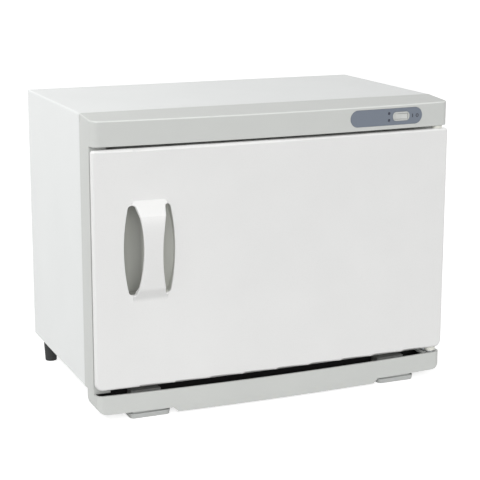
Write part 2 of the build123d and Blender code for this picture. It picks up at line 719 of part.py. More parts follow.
# Forms shared by the door's pieces
door_outer = door_form(0, door_rim_rear)
door_inner = door_form(DOOR_WALL, door_rim_rear + DOOR_RIM)
door_fit_form = door_form(DOOR_WALL + LINER_FIT, door_rim_rear)
cup_seat_form = door_form(DOOR_WALL + CUP_FIT, land_front)
cup_back_form = door_form(DOOR_WALL + CUP_FIT + CUP_WALL, land_front)
pocket_face = pocket_outline(0)
cup_flange_face = pocket_outline(CUP_FLANGE)
scoop_void = pocket_form(0)
scoop_shell = pocket_form(CUP_WALL)
boss_y = door_front + DOOR_WALL / 2 + HINGE_BOSS_DEPTH / 2
boss_middle_x = hinge_x + HINGE_BOSS_SHIFT
boss_left = boss_middle_x - HINGE_BOSS_WIDTH / 2
boss_levels = (door_bottom + DOOR_WALL / 2, door_top - HINGE_BOSS_HEIGHT - DOOR_WALL / 2)

# Handle strap: bowed in side view, waisted between its two openings, with an open back for the fingers
door_lean = handle_x / arc_radius(door_half, DOOR_BOW)
door_upright = math.sqrt(1 - door_lean**2)
strap_plane = Plane(
    origin=(handle_x, handle_face, 0), x_dir=(-door_lean, door_upright, 0), z_dir=(door_upright, door_lean, 0)
)
strap_end_half = STRAP_END_WIDTH / 2
strap_waist_half = STRAP_WAIST / 2
pocket_half_height = POCKET_HEIGHT / 2
pocket_bottom = handle_z - pocket_half_height
strap_top = handle_z + STRAP_TOP_RISE
strap_brow = handle_z + STRAP_BROW_RISE
strap_crest = handle_z + STRAP_CREST_RISE
strap_chin = handle_z - STRAP_CHIN_DROP
strap_toe = handle_z - STRAP_TOE_DROP
strap_bottom = handle_z - STRAP_BOTTOM_DROP
strap_root = DOOR_WALL / 2
strap_slot_top = strap_top - 2 * STRAP_WALL
strap_slot_bottom = pocket_bottom + STRAP_WALL
inner_brow = (STRAP_WALL - STRAP_BROW_REACH, strap_brow - STRAP_WALL)
inner_crest = (STRAP_WALL - STRAP_REACH, strap_crest)
inner_chin = (STRAP_WALL - STRAP_CHIN_REACH, strap_chin + STRAP_WALL)
with BuildSketch() as strap_openings:
    add(pocket_outline(0))
    with BuildLine():
        left_ends = [(-strap_end_half, height) for height in (-pocket_half_height, pocket_half_height)]
        right_ends = [(strap_end_half, height) for height in (pocket_half_height, -pocket_half_height)]
        ThreePointArc(left_ends[0], (-strap_waist_half, 0), left_ends[1])
        Line(left_ends[1], right_ends[0])
        ThreePointArc(right_ends[0], (strap_waist_half, 0), right_ends[1])
        Line(right_ends[1], left_ends[0])
    make_face(mode=Mode.SUBTRACT)
    strap_ends = strap_openings.vertices().filter_by(
        lambda corner: abs(abs(corner.X) - strap_end_half) < NEAR
    )
    fillet(strap_ends, STRAP_END_ROUND)
with BuildPart() as strap:
    with BuildSketch(strap_plane) as strap_side:
        with BuildLine():
            Polyline(
                (strap_root, strap_bottom),
                (strap_root, strap_top),
                (0, strap_top),
                (-STRAP_BROW_REACH, strap_brow),
            )
            TangentArc((-STRAP_REACH, strap_crest), (-STRAP_BROW_REACH, strap_brow), tangent=(0, 1))
            TangentArc((-STRAP_REACH, strap_crest), (-STRAP_CHIN_REACH, strap_chin), tangent=(0, -1))
            Line((-STRAP_CHIN_REACH, strap_chin), (-STRAP_TOE_REACH, strap_toe))
            TangentArc((0, strap_bottom), (-STRAP_TOE_REACH, strap_toe), tangent=(0, 1))
            Line((0, strap_bottom), (strap_root, strap_bottom))
        make_face()
        for level, radius in ((strap_brow, STRAP_BROW_RADIUS), (strap_chin, STRAP_CHIN_RADIUS)):
            fillet(strap_side.vertices().filter_by_position(Axis.Y, level - NEAR, level + NEAR), radius)
    extrude(amount=STRAP_ROOT_WIDTH, both=True)
    with BuildSketch(front_plane(handle_face)):
        with Locations((handle_x, (strap_top + strap_bottom) / 2)):
            RectangleRounded(STRAP_ROOT_WIDTH, strap_top - strap_bottom, STRAP_ROOT_CORNER)
    extrude(amount=BEYOND, both=True, mode=Mode.INTERSECT)
    with BuildSketch(front_plane(handle_face)):
        with Locations((handle_x, handle_z)):
            add(strap_openings.sketch)
    extrude(amount=BEYOND, both=True, mode=Mode.SUBTRACT)
    side_reach = strap_waist_half - NEAR
    outer_edges = strap.edges().filter_by(
        lambda edge: strap_plane.to_local_coords(edge.center()).X < 0
        and abs(edge.center().X - handle_x) > side_reach
    )
    fillet(outer_edges, STRAP_EDGE)
    with BuildSketch(strap_plane):
        with BuildLine():
            Polyline(
                inner_chin,
                (strap_root, strap_slot_bottom),
                (2 * DOOR_WALL, strap_slot_bottom),
                (2 * DOOR_WALL, strap_slot_top),
                (strap_root, strap_slot_top),
                inner_brow,
            )
            TangentArc(inner_crest, inner_brow, tangent=(0, 1))
            TangentArc(inner_crest, inner_chin, tangent=(0, -1))
        make_face()
    extrude(amount=STRAP_ROOT_WIDTH, both=True, mode=Mode.SUBTRACT)

# Door skin: bowed moulded shell with the handle strap across its pocket and a boss for each hinge bush
with BuildPart() as door_skin:
    add(door_outer)
    front_rim = door_skin.faces().sort_by(Axis.Y)[0].edges()
    fillet(front_rim, DOOR_EDGE)
    add(door_inner, mode=Mode.SUBTRACT)
    for level in boss_levels:
        with BuildSketch(Plane.XY.offset(level)):
            with Locations((boss_middle_x, boss_y)):
                RectangleRounded(HINGE_BOSS_WIDTH, HINGE_BOSS_DEPTH, DOOR_EDGE)
        extrude(amount=HINGE_BOSS_HEIGHT)
    with BuildSketch(front_plane(handle_face - STRAP_REACH)):
        with Locations((handle_x, handle_z)):
            add(pocket_face)
    extrude(amount=-2 * STRAP_REACH, mode=Mode.SUBTRACT)
    add(strap.part)
    bush_bore_depth = BUSH_LENGTH + BUSH_FIT
    with Locations((hinge_x, hinge_y, door_bottom), (hinge_x, hinge_y, door_top)):
        Cylinder(BUSH_RADIUS + BUSH_FIT, 2 * bush_bore_depth, mode=Mode.SUBTRACT)
door_skin.part.label = "door_skin"
export_step(door_skin.part, "parts/door_skin.step")

# Handle cup: the finger scoop, seated on the back of the skin round the pocket
with BuildPart() as handle_cup:
    with BuildSketch(front_plane(handle_face)):
        with Locations((handle_x, handle_z)):
            add(cup_flange_face)
    extrude(amount=-2 * DOOR_RIM)
    add(cup_back_form, mode=Mode.SUBTRACT)
    add(scoop_shell)
    add(cup_seat_form, mode=Mode.INTERSECT)
    add(scoop_void, mode=Mode.SUBTRACT)
handle_cup.part.label = "handle_cup"
export_step(handle_cup.part, "parts/handle_cup.step")

# Door liner: dished inner panel whose flange sits inside the skin's rim and whose plug fills the frame
plug_width = plug_right - plug_left
plug_height = plug_top - plug_bottom
plug_middle = ((plug_right + plug_left) / 2, (plug_top + plug_bottom) / 2)
liner_flange_front = door_rim_rear - LINER_FLANGE
boss_notch_left = boss_left - LINER_FIT
boss_notch_height = HINGE_BOSS_HEIGHT + DOOR_WALL + LINER_FIT
with BuildPart() as door_liner:
    with BuildSketch(front_plane(liner_flange_front)):
        with Locations((0, (door_top + door_bottom) / 2)):
            Rectangle(door_width, door_top - door_bottom)
    extrude(amount=-LINER_FLANGE)
    add(door_fit_form, mode=Mode.INTERSECT)
    with BuildSketch(front_plane(liner_flange_front)):
        with Locations(plug_middle):
            RectangleRounded(plug_width, plug_height, PLUG_CORNER)
    extrude(amount=-(plug_rear - liner_flange_front))
    fillet(door_liner.faces().sort_by(Axis.Y)[-1].edges(), PLUG_CORNER / 2)
    with BuildSketch(front_plane(liner_flange_front)):
        with Locations(plug_middle):
            RectangleRounded(
                plug_width - 2 * LINER_WALL, plug_height - 2 * LINER_WALL, PLUG_CORNER - LINER_WALL
            )
    extrude(amount=-(plug_rear - LINER_WALL - liner_flange_front), mode=Mode.SUBTRACT)
    for notch_low in (door_bottom, door_top - boss_notch_height):
        block(
            (boss_notch_left, door_half),
            (liner_flange_front - PAST, door_rim_rear + PAST),
            (notch_low, notch_low + boss_notch_height),
            mode=Mode.SUBTRACT,
        )
door_liner.part.label = "door_liner"
export_step(door_liner.part, "parts/door_liner.step")

# Door insulation: a foam slab in the liner, hollowed for the handle cup
foam_rear = plug_rear - LINER_WALL
foam_front = door_front + DOOR_WALL + SOFT_CLEARANCE
scoop_back = handle_face + SCOOP_DEPTH + CUP_WALL
with BuildPart() as door_insulation:
    with BuildSketch(front_plane(foam_rear)):
        with Locations(plug_middle):
            RectangleRounded(
                plug_width - 2 * (LINER_WALL + SOFT_CLEARANCE),
                plug_height - 2 * (LINER_WALL + SOFT_CLEARANCE),
                PLUG_CORNER,
            )
    extrude(amount=foam_rear - foam_front)
    with BuildSketch(front_plane(foam_front - PAST)):
        with Locations((handle_x, handle_z)):
            Rectangle(POCKET_WIDTH + 3 * CUP_FLANGE, POCKET_HEIGHT + 3 * CUP_FLANGE)
    extrude(amount=-(scoop_back + SOFT_CLEARANCE - foam_front + PAST), mode=Mode.SUBTRACT)
    for notch_low in (door_bottom, door_top - boss_notch_height):
        block(
            (boss_notch_left - SOFT_CLEARANCE, door_half),
            (foam_front - PAST, foam_rear + PAST),
            (notch_low - SOFT_CLEARANCE, notch_low + boss_notch_height + SOFT_CLEARANCE),
            mode=Mode.SUBTRACT,
        )
door_insulation.part.label = "door_insulation"
export_step(door_insulation.part, "parts/door_insulation.step")

# Door gasket: soft ring on the back of the liner, just clear of the frame's land
gasket_inner_width = mouth_width + 2 * GASKET_MOUTH_MARGIN
gasket_inner_height = mouth_top - mouth_bottom + 2 * GASKET_MOUTH_MARGIN
gasket_rear = land_front - SOFT_CLEARANCE
with BuildPart() as door_gasket:
    with BuildSketch(front_plane(plug_rear)):
        with Locations((0, mouth_middle)):
            RectangleRounded(
                gasket_inner_width + 2 * GASKET_WIDTH, gasket_inner_height + 2 * GASKET_WIDTH, MOUTH_CORNER
            )
            RectangleRounded(gasket_inner_width, gasket_inner_height, MOUTH_CORNER, mode=Mode.SUBTRACT)
    extrude(amount=-(gasket_rear - plug_rear))
door_gasket.part.label = "door_gasket"
export_step(door_gasket.part, "parts/door_gasket.step")

# Hinge: a bracket, a headed pin and a flanged bush at the top and at the bottom of the door
upper_bracket_low = top_bar_bottom + MOULDING_WALL
lower_bracket_low = CASE_BOTTOM
bracket_x = (hinge_x - BRACKET_WIDTH / 2, hinge_x + BRACKET_WIDTH / 2)
bracket_front = hinge_y - PIN_HEAD_RADIUS + 2 * PIN_HOLE_CLEARANCE
with BuildPart() as upper_hinge_bracket:
    block(
        bracket_x,
        (bracket_front, land_front),
        (upper_bracket_low, upper_bracket_low + BRACKET_THICKNESS),
    )
    fillet(upper_hinge_bracket.edges().filter_by(Axis.Z).group_by(Axis.Y)[0], BRACKET_CORNER)
    with Locations((hinge_x, hinge_y, upper_bracket_low)):
        Cylinder(PIN_RADIUS + PIN_RUNNING_FIT, 3 * BRACKET_THICKNESS, mode=Mode.SUBTRACT)
    with Locations((hinge_x, land_front - BRACKET_LEG / 2, upper_bracket_low)):
        Cylinder(SCREW_RADIUS + SCREW_CLEARANCE, 3 * BRACKET_THICKNESS, mode=Mode.SUBTRACT)
upper_hinge_bracket.part.label = "upper_hinge_bracket"
export_step(upper_hinge_bracket.part, "parts/upper_hinge_bracket.step")

with BuildPart() as lower_hinge_bracket:
    block(
        bracket_x,
        (bracket_front, land_front),
        (lower_bracket_low, lower_bracket_low + BRACKET_THICKNESS),
    )
    fillet(lower_hinge_bracket.edges().filter_by(Axis.Z).group_by(Axis.Y)[0], BRACKET_CORNER)
    block(
        bracket_x,
        (land_front - BRACKET_THICKNESS, land_front),
        (lower_bracket_low, lower_bracket_low + BRACKET_THICKNESS + BRACKET_LEG),
    )
    with Locations((hinge_x, hinge_y, lower_bracket_low)):
        Cylinder(PIN_RADIUS + PIN_RUNNING_FIT, 3 * BRACKET_THICKNESS, mode=Mode.SUBTRACT)
    with BuildSketch(front_plane(land_front)):
        with Locations((hinge_x, lower_bracket_low + BRACKET_THICKNESS + BRACKET_LEG / 2)):
            Circle(SCREW_RADIUS + SCREW_CLEARANCE)
    extrude(amount=2 * BRACKET_THICKNESS, mode=Mode.SUBTRACT)
lower_hinge_bracket.part.label = "lower_hinge_bracket"
export_step(lower_hinge_bracket.part, "parts/lower_hinge_bracket.step")

upper_pin_top = upper_bracket_low + BRACKET_THICKNESS
upper_pin_low = door_top - PIN_ENGAGEMENT
with BuildPart() as upper_hinge_pin:
    with BuildSketch(Plane.XY.offset(upper_pin_low)):
        with Locations((hinge_x, hinge_y)):
            Circle(PIN_RADIUS)
    extrude(amount=upper_pin_top - upper_pin_low)
    with BuildSketch(Plane.XY.offset(upper_pin_top)):
        with Locations((hinge_x, hinge_y)):
            Circle(PIN_HEAD_RADIUS - 2 * PIN_HOLE_CLEARANCE)
    extrude(amount=PIN_HEAD_HEIGHT)
    chamfer(upper_hinge_pin.edges().filter_by(GeomType.CIRCLE).sort_by(Axis.Z)[0], PIN_RADIUS / 5)
upper_hinge_pin.part.label = "upper_hinge_pin"
export_step(upper_hinge_pin.part, "parts/upper_hinge_pin.step")

lower_pin_low = CASE_BOTTOM - MOULDING_WALL
lower_pin_top = door_bottom + PIN_ENGAGEMENT
with BuildPart() as lower_hinge_pin:
    with BuildSketch(Plane.XY.offset(lower_pin_low)):
        with Locations((hinge_x, hinge_y)):
            Circle(PIN_RADIUS)
    extrude(amount=lower_pin_top - lower_pin_low)
    with BuildSketch(Plane.XY.offset(lower_pin_low)):
        with Locations((hinge_x, hinge_y)):
            Circle(PIN_HEAD_RADIUS - 2 * PIN_HOLE_CLEARANCE)
    extrude(amount=-PIN_HEAD_HEIGHT)
    chamfer(lower_hinge_pin.edges().filter_by(GeomType.CIRCLE).sort_by(Axis.Z)[-1], PIN_RADIUS / 5)
lower_hinge_pin.part.label = "lower_hinge_pin"
export_step(lower_hinge_pin.part, "parts/lower_hinge_pin.step")

lower_bush_flange = door_bottom - lower_bracket_low - BRACKET_THICKNESS - BUSH_END_PLAY
upper_bush_flange = top_bar_bottom - door_top - BUSH_END_PLAY
for name, face_z, into_door, flange in (
    ("upper_hinge_bush", door_top, -1, upper_bush_flange),
    ("lower_hinge_bush", door_bottom, 1, lower_bush_flange),
):
    with BuildPart() as hinge_bush:
        with BuildSketch(Plane.XY.offset(face_z)):
            with Locations((hinge_x, hinge_y)):
                Circle(BUSH_RADIUS)
        extrude(amount=into_door * BUSH_LENGTH)
        with BuildSketch(Plane.XY.offset(face_z)):
            with Locations((hinge_x, hinge_y)):
                Circle(BUSH_FLANGE_RADIUS)
        extrude(amount=-into_door * flange)
        with Locations((hinge_x, hinge_y, face_z)):
            Cylinder(PIN_RADIUS + PIN_RUNNING_FIT, 4 * BUSH_LENGTH, mode=Mode.SUBTRACT)
    hinge_bush.part.label = name
    export_step(hinge_bush.part, f"parts/{name}.step")

# Magnet catch on the column's front, and the striker plate behind the door's rim
striker_rear = door_rim_rear + STRIKER_THICKNESS
catch_front = striker_rear + CATCH_GAP
with BuildPart() as catch_magnet:
    block(
        (catch_x - CATCH_WIDTH / 2, catch_x + CATCH_WIDTH / 2),
        (catch_front, column_front),
        (catch_bottom, catch_top),
    )
    fillet(catch_magnet.edges().filter_by(Axis.Y), CATCH_CORNER)
catch_magnet.part.label = "catch_magnet"
export_step(catch_magnet.part, "parts/catch_magnet.step")

with BuildPart() as striker_plate:
    block(
        (catch_x - CATCH_WIDTH / 2 - STRIKER_MARGIN, catch_x + CATCH_WIDTH / 2),
        (door_rim_rear, striker_rear),
        (catch_bottom - STRIKER_MARGIN, catch_top + STRIKER_MARGIN),
    )
    fillet(striker_plate.edges().filter_by(Axis.Y), STRIKER_MARGIN)
striker_plate.part.label = "striker_plate"
export_step(striker_plate.part, "parts/striker_plate.step")

# Lamp cut-off: a plunger pressed in by the closed door, and its switch on the column's inside wall
plunger_front = door_rim_rear + SOFT_CLEARANCE
collar_front = column_front + MOULDING_WALL + PLUNGER_TRAVEL + PLUNGER_END_PLAY
plunger_rear = collar_front + PLUNGER_COLLAR
with BuildPart() as cutoff_plunger:
    with BuildSketch(front_plane(plunger_front)):
        with Locations((plunger_x, cutoff_z)):
            Circle(PLUNGER_RADIUS)
    extrude(amount=-(plunger_rear - plunger_front))
    with BuildSketch(front_plane(collar_front)):
        with Locations((plunger_x, cutoff_z)):
            Circle(PLUNGER_COLLAR_RADIUS)
    extrude(amount=-PLUNGER_COLLAR)
    chamfer(cutoff_plunger.edges().filter_by(GeomType.CIRCLE).sort_by(Axis.Y)[0], PLUNGER_RADIUS / 3)
cutoff_plunger.part.label = "cutoff_plunger"
export_step(cutoff_plunger.part, "parts/cutoff_plunger.step")

cutoff_front = plunger_rear + SOFT_CLEARANCE
with BuildPart() as cutoff_switch:
    block(
        (-case_half + MOULDING_WALL, -case_half + MOULDING_WALL + CUTOFF_BODY_WIDTH),
        (cutoff_front, cutoff_front + CUTOFF_BODY_DEPTH),
        (cutoff_z - CUTOFF_BODY_HEIGHT / 2, cutoff_z + CUTOFF_BODY_HEIGHT / 2),
    )
    for lift in (-1, 0, 1):
        tab_z = cutoff_z + lift * CUTOFF_BODY_HEIGHT / 3
        with Locations((plunger_x, cutoff_front + CUTOFF_BODY_DEPTH + TAB_LENGTH / 2, tab_z)):
            Box(TAB_THICKNESS, TAB_LENGTH, TAB_WIDTH)
cutoff_switch.part.label = "cutoff_switch"
export_step(cutoff_switch.part, "parts/cutoff_switch.step")

# Control plate: a thin stadium that follows the bar's bow, with openings for the switch and the lenses
plate_blank = plate_form(0, -PLATE_PROUD, plate_seat - SEAT_GAP)
with BuildPart() as control_plate:
    add(plate_blank)
    with BuildSketch(switch_face):
        RectangleRounded(BEZEL_WIDTH + 2 * PLATE_FIT, BEZEL_HEIGHT + 2 * PLATE_FIT, BEZEL_CORNER)
    extrude(amount=5 * PLATE_THICKNESS, both=True, mode=Mode.SUBTRACT)
    with BuildSketch(lens_face):
        with Locations(*lens_places):
            Circle(LAMP_LENS_RADIUS + PLATE_FIT)
    extrude(amount=5 * PLATE_THICKNESS, both=True, mode=Mode.SUBTRACT)
control_plate.part.label = "control_plate"
export_step(control_plate.part, "parts/control_plate.step")

# Switch housing: oblong bezel with a body behind it and a well for the rocker
bezel_seat = plate_seat - SEAT_GAP
rocker_swing_half = ROCKER_WIDTH / 2 + ROCKER_GAP + math.sin(math.radians(ROCKER_TILT)) * (
    ROCKER_PIVOT_DEPTH + ROCKER_END_PROUD
)
with BuildPart() as switch_housing:
    with BuildSketch(tangent_plane(switch_x, plate_z, bezel_seat)):
        RectangleRounded(BEZEL_WIDTH, BEZEL_HEIGHT, BEZEL_CORNER)
    extrude(amount=bezel_seat + BEZEL_PROUD)
    fillet(switch_housing.faces().sort_by(Axis.Y)[0].edges(), BEZEL_PROUD / 2)
    with BuildSketch(tangent_plane(switch_x, plate_z, bezel_seat)):
        Rectangle(SWITCH_BODY_WIDTH, SWITCH_BODY_HEIGHT)
    extrude(amount=-SWITCH_BODY_DEPTH)
    with BuildSketch(tangent_plane(switch_x, plate_z, -BEZEL_PROUD)):
        Rectangle(2 * rocker_swing_half, ROCKER_HEIGHT + 2 * ROCKER_GAP)
    extrude(amount=-(BEZEL_PROUD + ROCKER_PIVOT_DEPTH + ROCKER_ROOT_DEPTH), mode=Mode.SUBTRACT)
switch_housing.part.label = "switch_housing"
export_step(switch_housing.part, "parts/switch_housing.step")

# Power switch rocker: a shallow V seen from above, shown pressed down at its left end
rocker_pivot = tangent_plane(switch_x, plate_z, ROCKER_PIVOT_DEPTH).origin
rocker_turn = math.atan2(switch_face.x_dir.Y, switch_face.x_dir.X) - math.radians(ROCKER_TILT)
rocker_plane = Plane(
    origin=(rocker_pivot.X, rocker_pivot.Y, plate_z - ROCKER_HEIGHT / 2),
    x_dir=(math.cos(rocker_turn), math.sin(rocker_turn), 0),
    z_dir=(0, 0, 1),
)
rocker_half = ROCKER_WIDTH / 2
rocker_root = ROCKER_ROOT_DEPTH - ROCKER_PIVOT_DEPTH
with BuildPart() as power_switch:
    with BuildSketch(rocker_plane):
        with BuildLine():
            Polyline(
                (-rocker_half, rocker_root),
                (-rocker_half, -ROCKER_PIVOT_DEPTH - ROCKER_END_PROUD),
                (0, -ROCKER_PIVOT_DEPTH - ROCKER_MIDDLE_PROUD),
                (rocker_half, -ROCKER_PIVOT_DEPTH - ROCKER_END_PROUD),
                (rocker_half, rocker_root),
            )
            ThreePointArc(
                (rocker_half, rocker_root), (0, rocker_root + ROCKER_ROOT_BELLY), (-rocker_half, rocker_root)
            )
        make_face()
    extrude(amount=ROCKER_HEIGHT)
    end_edges = power_switch.edges().filter_by(Axis.Z).group_by(Axis.Y)[0]
    fillet(end_edges, ROCKER_GAP)
power_switch.part.label = "power_switch"
export_step(power_switch.part, "parts/power_switch.step")

# Indicator lenses and the board that carries them
with BuildPart() as indicator_lenses:
    with BuildSketch(tangent_plane(lamp_lens_x, plate_z, BOARD_DEPTH - SEAT_GAP)):
        with Locations(*lens_places):
            Circle(LAMP_LENS_RADIUS)
    extrude(amount=BOARD_DEPTH - SEAT_GAP + PLATE_PROUD)
    chamfer(indicator_lenses.edges().filter_by(GeomType.CIRCLE).group_by(Axis.Y)[0], LAMP_LENS_RADIUS / 4)
indicator_lenses.part.label = "indicator_lenses"
export_step(indicator_lenses.part, "parts/indicator_lenses.step")

with BuildPart() as indicator_board:
    with BuildSketch(tangent_plane(board_x, plate_z, BOARD_DEPTH)):
        Rectangle(BOARD_WIDTH, BOARD_HEIGHT)
    extrude(amount=-BOARD_THICKNESS)
indicator_board.part.label = "indicator_board"
export_step(indicator_board.part, "parts/indicator_board.step")

# Chamber: folded aluminium box, open at the front, whose flange seats behind the frame's land
flange_width = mouth_width + 2 * (CHAMBER_SHEET + CHAMBER_FLANGE)
flange_height = mouth_height + 2 * (CHAMBER_SHEET + CHAMBER_FLANGE)
thermostat_z = mouth_bottom + mouth_height / 4
with BuildPart() as chamber:
    with BuildSketch(front_plane(chamber_front)):
        with Locations((0, mouth_middle)):
            Rectangle(mouth_width + 2 * CHAMBER_SHEET, mouth_height + 2 * CHAMBER_SHEET)
    extrude(amount=-chamber_depth)
    fillet(chamber.edges().filter_by(Axis.Y), MOUTH_CORNER)
    with BuildSketch(front_plane(chamber_front)):
        with Locations((0, mouth_middle)):
            Rectangle(flange_width, flange_height)
    extrude(amount=-CHAMBER_SHEET)
    with BuildSketch(front_plane(chamber_front)):
        with Locations((0, mouth_middle)):
            RectangleRounded(mouth_width, mouth_height, MOUTH_CORNER - CHAMBER_SHEET)
    extrude(amount=-(chamber_depth - CHAMBER_SHEET), mode=Mode.SUBTRACT)
chamber.part.label = "chamber"
export_step(chamber.part, "parts/chamber.step")

# Heater: flat mat under the chamber's floor
heater_top = mouth_bottom - CHAMBER_SHEET
with BuildPart() as heater_mat:
    with BuildSketch(Plane.XY.offset(heater_top - HEATER_THICKNESS)):
        with Locations((0, (chamber_front + chamber_rear) / 2)):
            RectangleRounded(
                mouth_width - 2 * HEATER_MARGIN, chamber_depth - 2 * HEATER_MARGIN, HEATER_CORNER
            )
    extrude(amount=HEATER_THICKNESS)
heater_mat.part.label = "heater_mat"
export_step(heater_mat.part, "parts/heater_mat.step")

# Insulation jacket round the chamber and the heater, with holes for the thermostat and the standoffs
jacket_front = chamber_front + CHAMBER_SHEET + JACKET_CLEARANCE
jacket_inner_half = mouth_half + CHAMBER_SHEET + JACKET_CLEARANCE
jacket_inner_low = heater_top - HEATER_THICKNESS - JACKET_CLEARANCE
jacket_inner_high = mouth_top + CHAMBER_SHEET + JACKET_CLEARANCE
jacket_inner_rear = chamber_rear + JACKET_CLEARANCE
jacket_rear = jacket_inner_rear + JACKET_THICKNESS
with BuildPart() as insulation_jacket:
    block(
        (-jacket_inner_half - JACKET_THICKNESS, jacket_inner_half + JACKET_THICKNESS),
        (jacket_front, jacket_rear),
        (jacket_inner_low - JACKET_THICKNESS, jacket_inner_high + JACKET_THICKNESS),
    )
    fillet(insulation_jacket.edges().filter_by(Axis.Y), JACKET_THICKNESS)
    block(
        (-jacket_inner_half, jacket_inner_half),
        (jacket_front, jacket_inner_rear),
        (jacket_inner_low, jacket_inner_high),
        mode=Mode.SUBTRACT,
    )
    with BuildSketch(front_plane(jacket_rear)):
        with Locations((0, thermostat_z)):
            Circle(THERMOSTAT_FLANGE_RADIUS + 2 * SOFT_CLEARANCE)
        for standoff_z in standoff_zs:
            with Locations((-standoff_x, standoff_z), (standoff_x, standoff_z)):
                Circle(STANDOFF_RADIUS + SOFT_CLEARANCE)
    extrude(amount=2 * JACKET_THICKNESS, mode=Mode.SUBTRACT)
insulation_jacket.part.label = "insulation_jacket"
export_step(insulation_jacket.part, "parts/insulation_jacket.step")

# Thermostat: snap disc on the back of the chamber
with BuildPart() as thermostat:
    with BuildSketch(front_plane(chamber_rear)):
        with Locations((0, thermostat_z)):
            Circle(THERMOSTAT_FLANGE_RADIUS)
    extrude(amount=-THERMOSTAT_FLANGE)
    with BuildSketch(front_plane(chamber_rear)):
        with Locations((0, thermostat_z)):
            Circle(THERMOSTAT_RADIUS)
    extrude(amount=-THERMOSTAT_HEIGHT)
    for side in (-1, 1):
        tab_y = chamber_rear + THERMOSTAT_HEIGHT + TAB_LENGTH / 2
        with Locations((side * THERMOSTAT_RADIUS / 2, tab_y, thermostat_z)):
            Box(TAB_THICKNESS, TAB_LENGTH, TAB_WIDTH)
thermostat.part.label = "thermostat"
export_step(thermostat.part, "parts/thermostat.step")

# Standoffs between the back of the chamber and the rear panel
with BuildPart() as chamber_standoffs:
    with BuildSketch(front_plane(chamber_rear)):
        for standoff_z in standoff_zs:
            with Locations((-standoff_x, standoff_z), (standoff_x, standoff_z)):
                RegularPolygon(STANDOFF_RADIUS, 6)
    extrude(amount=-(rear_panel_front - chamber_rear))
chamber_standoffs.part.label = "chamber_standoffs"
export_step(chamber_standoffs.part, "parts/chamber_standoffs.step")

# Rack rails: angle strips on the chamber's side walls, a pair for each rack
rail_y = (chamber_front + MOUTH_CORNER, chamber_front + MOUTH_CORNER + rack_depth)
with BuildPart() as rack_rails:
    for rack_height in rack_heights:
        for side in (-1, 1):
            shelf = sorted((side * mouth_half, side * (mouth_half - RAIL_WIDTH)))
            leg = sorted((side * mouth_half, side * (mouth_half - RAIL_THICKNESS)))
            block(shelf, rail_y, (rack_height - RAIL_THICKNESS, rack_height))
            block(leg, rail_y, (rack_height - RAIL_THICKNESS - RAIL_LEG, rack_height - RAIL_THICKNESS))
rack_rails.part.label = "rack_rails"
export_step(rack_rails.part, "parts/rack_rails.step")

# Towel racks: a bent wire frame with cross wires welded along its top
rack_middle_y = (rail_y[0] + rail_y[1]) / 2
rack_path_width = rack_width - 2 * RACK_FRAME_RADIUS
rack_path_depth = rack_depth - 2 * RACK_FRAME_RADIUS
rack_wire_pitch = (rack_path_width - 2 * RACK_CORNER) / (RACK_WIRES - 1)
for name, rack_height in zip(("lower_towel_rack", "upper_towel_rack"), rack_heights):
    wire_level = rack_height + RACK_FRAME_RADIUS
    cross_level = wire_level + RACK_WIRE_LIFT
    with BuildPart() as towel_rack:
        with BuildLine(Plane.XY.offset(wire_level)) as rack_path:
            half_x = rack_path_width / 2
            low_y = rack_middle_y - rack_path_depth / 2
            high_y = rack_middle_y + rack_path_depth / 2
            FilletPolyline(
                (-half_x, low_y),
                (half_x, low_y),
                (half_x, high_y),
                (-half_x, high_y),
                radius=RACK_CORNER,
                close=True,
            )
        with BuildSketch(Plane(origin=(0, low_y, wire_level), z_dir=(1, 0, 0))):
            Circle(RACK_FRAME_RADIUS)
        sweep(path=rack_path.wires()[0])
        with BuildSketch(front_plane(low_y)):
            with Locations((0, cross_level)):
                with GridLocations(rack_wire_pitch, 0, RACK_WIRES, 1):
                    Circle(RACK_WIRE_RADIUS)
        extrude(amount=-rack_path_depth)
    towel_rack.part.label = name
    export_step(towel_rack.part, f"parts/{name}.step")

# Drip tray: shallow pan on the chamber's floor
tray_half = mouth_half - TRAY_SIDE_GAP
tray_y = (rail_y[0] + RAIL_THICKNESS, rail_y[1])
tray_middle_y = (tray_y[0] + tray_y[1]) / 2
tray_depth = tray_y[1] - tray_y[0]
with BuildPart() as drip_tray:
    with BuildSketch(Plane.XY.offset(mouth_bottom)):
        with Locations((0, tray_middle_y)):
            RectangleRounded(2 * tray_half - TRAY_SIDE_GAP, tray_depth - TRAY_SIDE_GAP, TRAY_CORNER)
    with BuildSketch(Plane.XY.offset(mouth_bottom + TRAY_HEIGHT)):
        with Locations((0, tray_middle_y)):
            RectangleRounded(2 * tray_half, tray_depth, TRAY_CORNER)
    loft()
    offset(amount=-TRAY_WALL, openings=drip_tray.faces().sort_by(Axis.Z)[-1])
drip_tray.part.label = "drip_tray"
export_step(drip_tray.part, "parts/drip_tray.step")

# Lamp: glass tube with metal caps, two holders on the ceiling and a slotted guard
lamp_y = chamber_rear - LAMP_FROM_REAR
lamp_z = mouth_top - LAMP_BELOW_CEILING
lamp_half = LAMP_LENGTH / 2
tube_half = lamp_half - LAMP_CAP_LENGTH
with BuildPart() as lamp_tube:
    with BuildSketch(Plane.YZ.offset(-tube_half)):
        with Locations((lamp_y, lamp_z)):
            Circle(LAMP_RADIUS)
    extrude(amount=2 * tube_half)
lamp_tube.part.label = "lamp_tube"
export_step(lamp_tube.part, "parts/lamp_tube.step")

with BuildPart() as lamp_caps:
    for side in (-1, 1):
        with BuildSketch(Plane.YZ.offset(side * tube_half)):
            with Locations((lamp_y, lamp_z)):
                Circle(LAMP_CAP_RADIUS)
        extrude(amount=side * LAMP_CAP_LENGTH)
lamp_caps.part.label = "lamp_caps"
export_step(lamp_caps.part, "parts/lamp_caps.step")

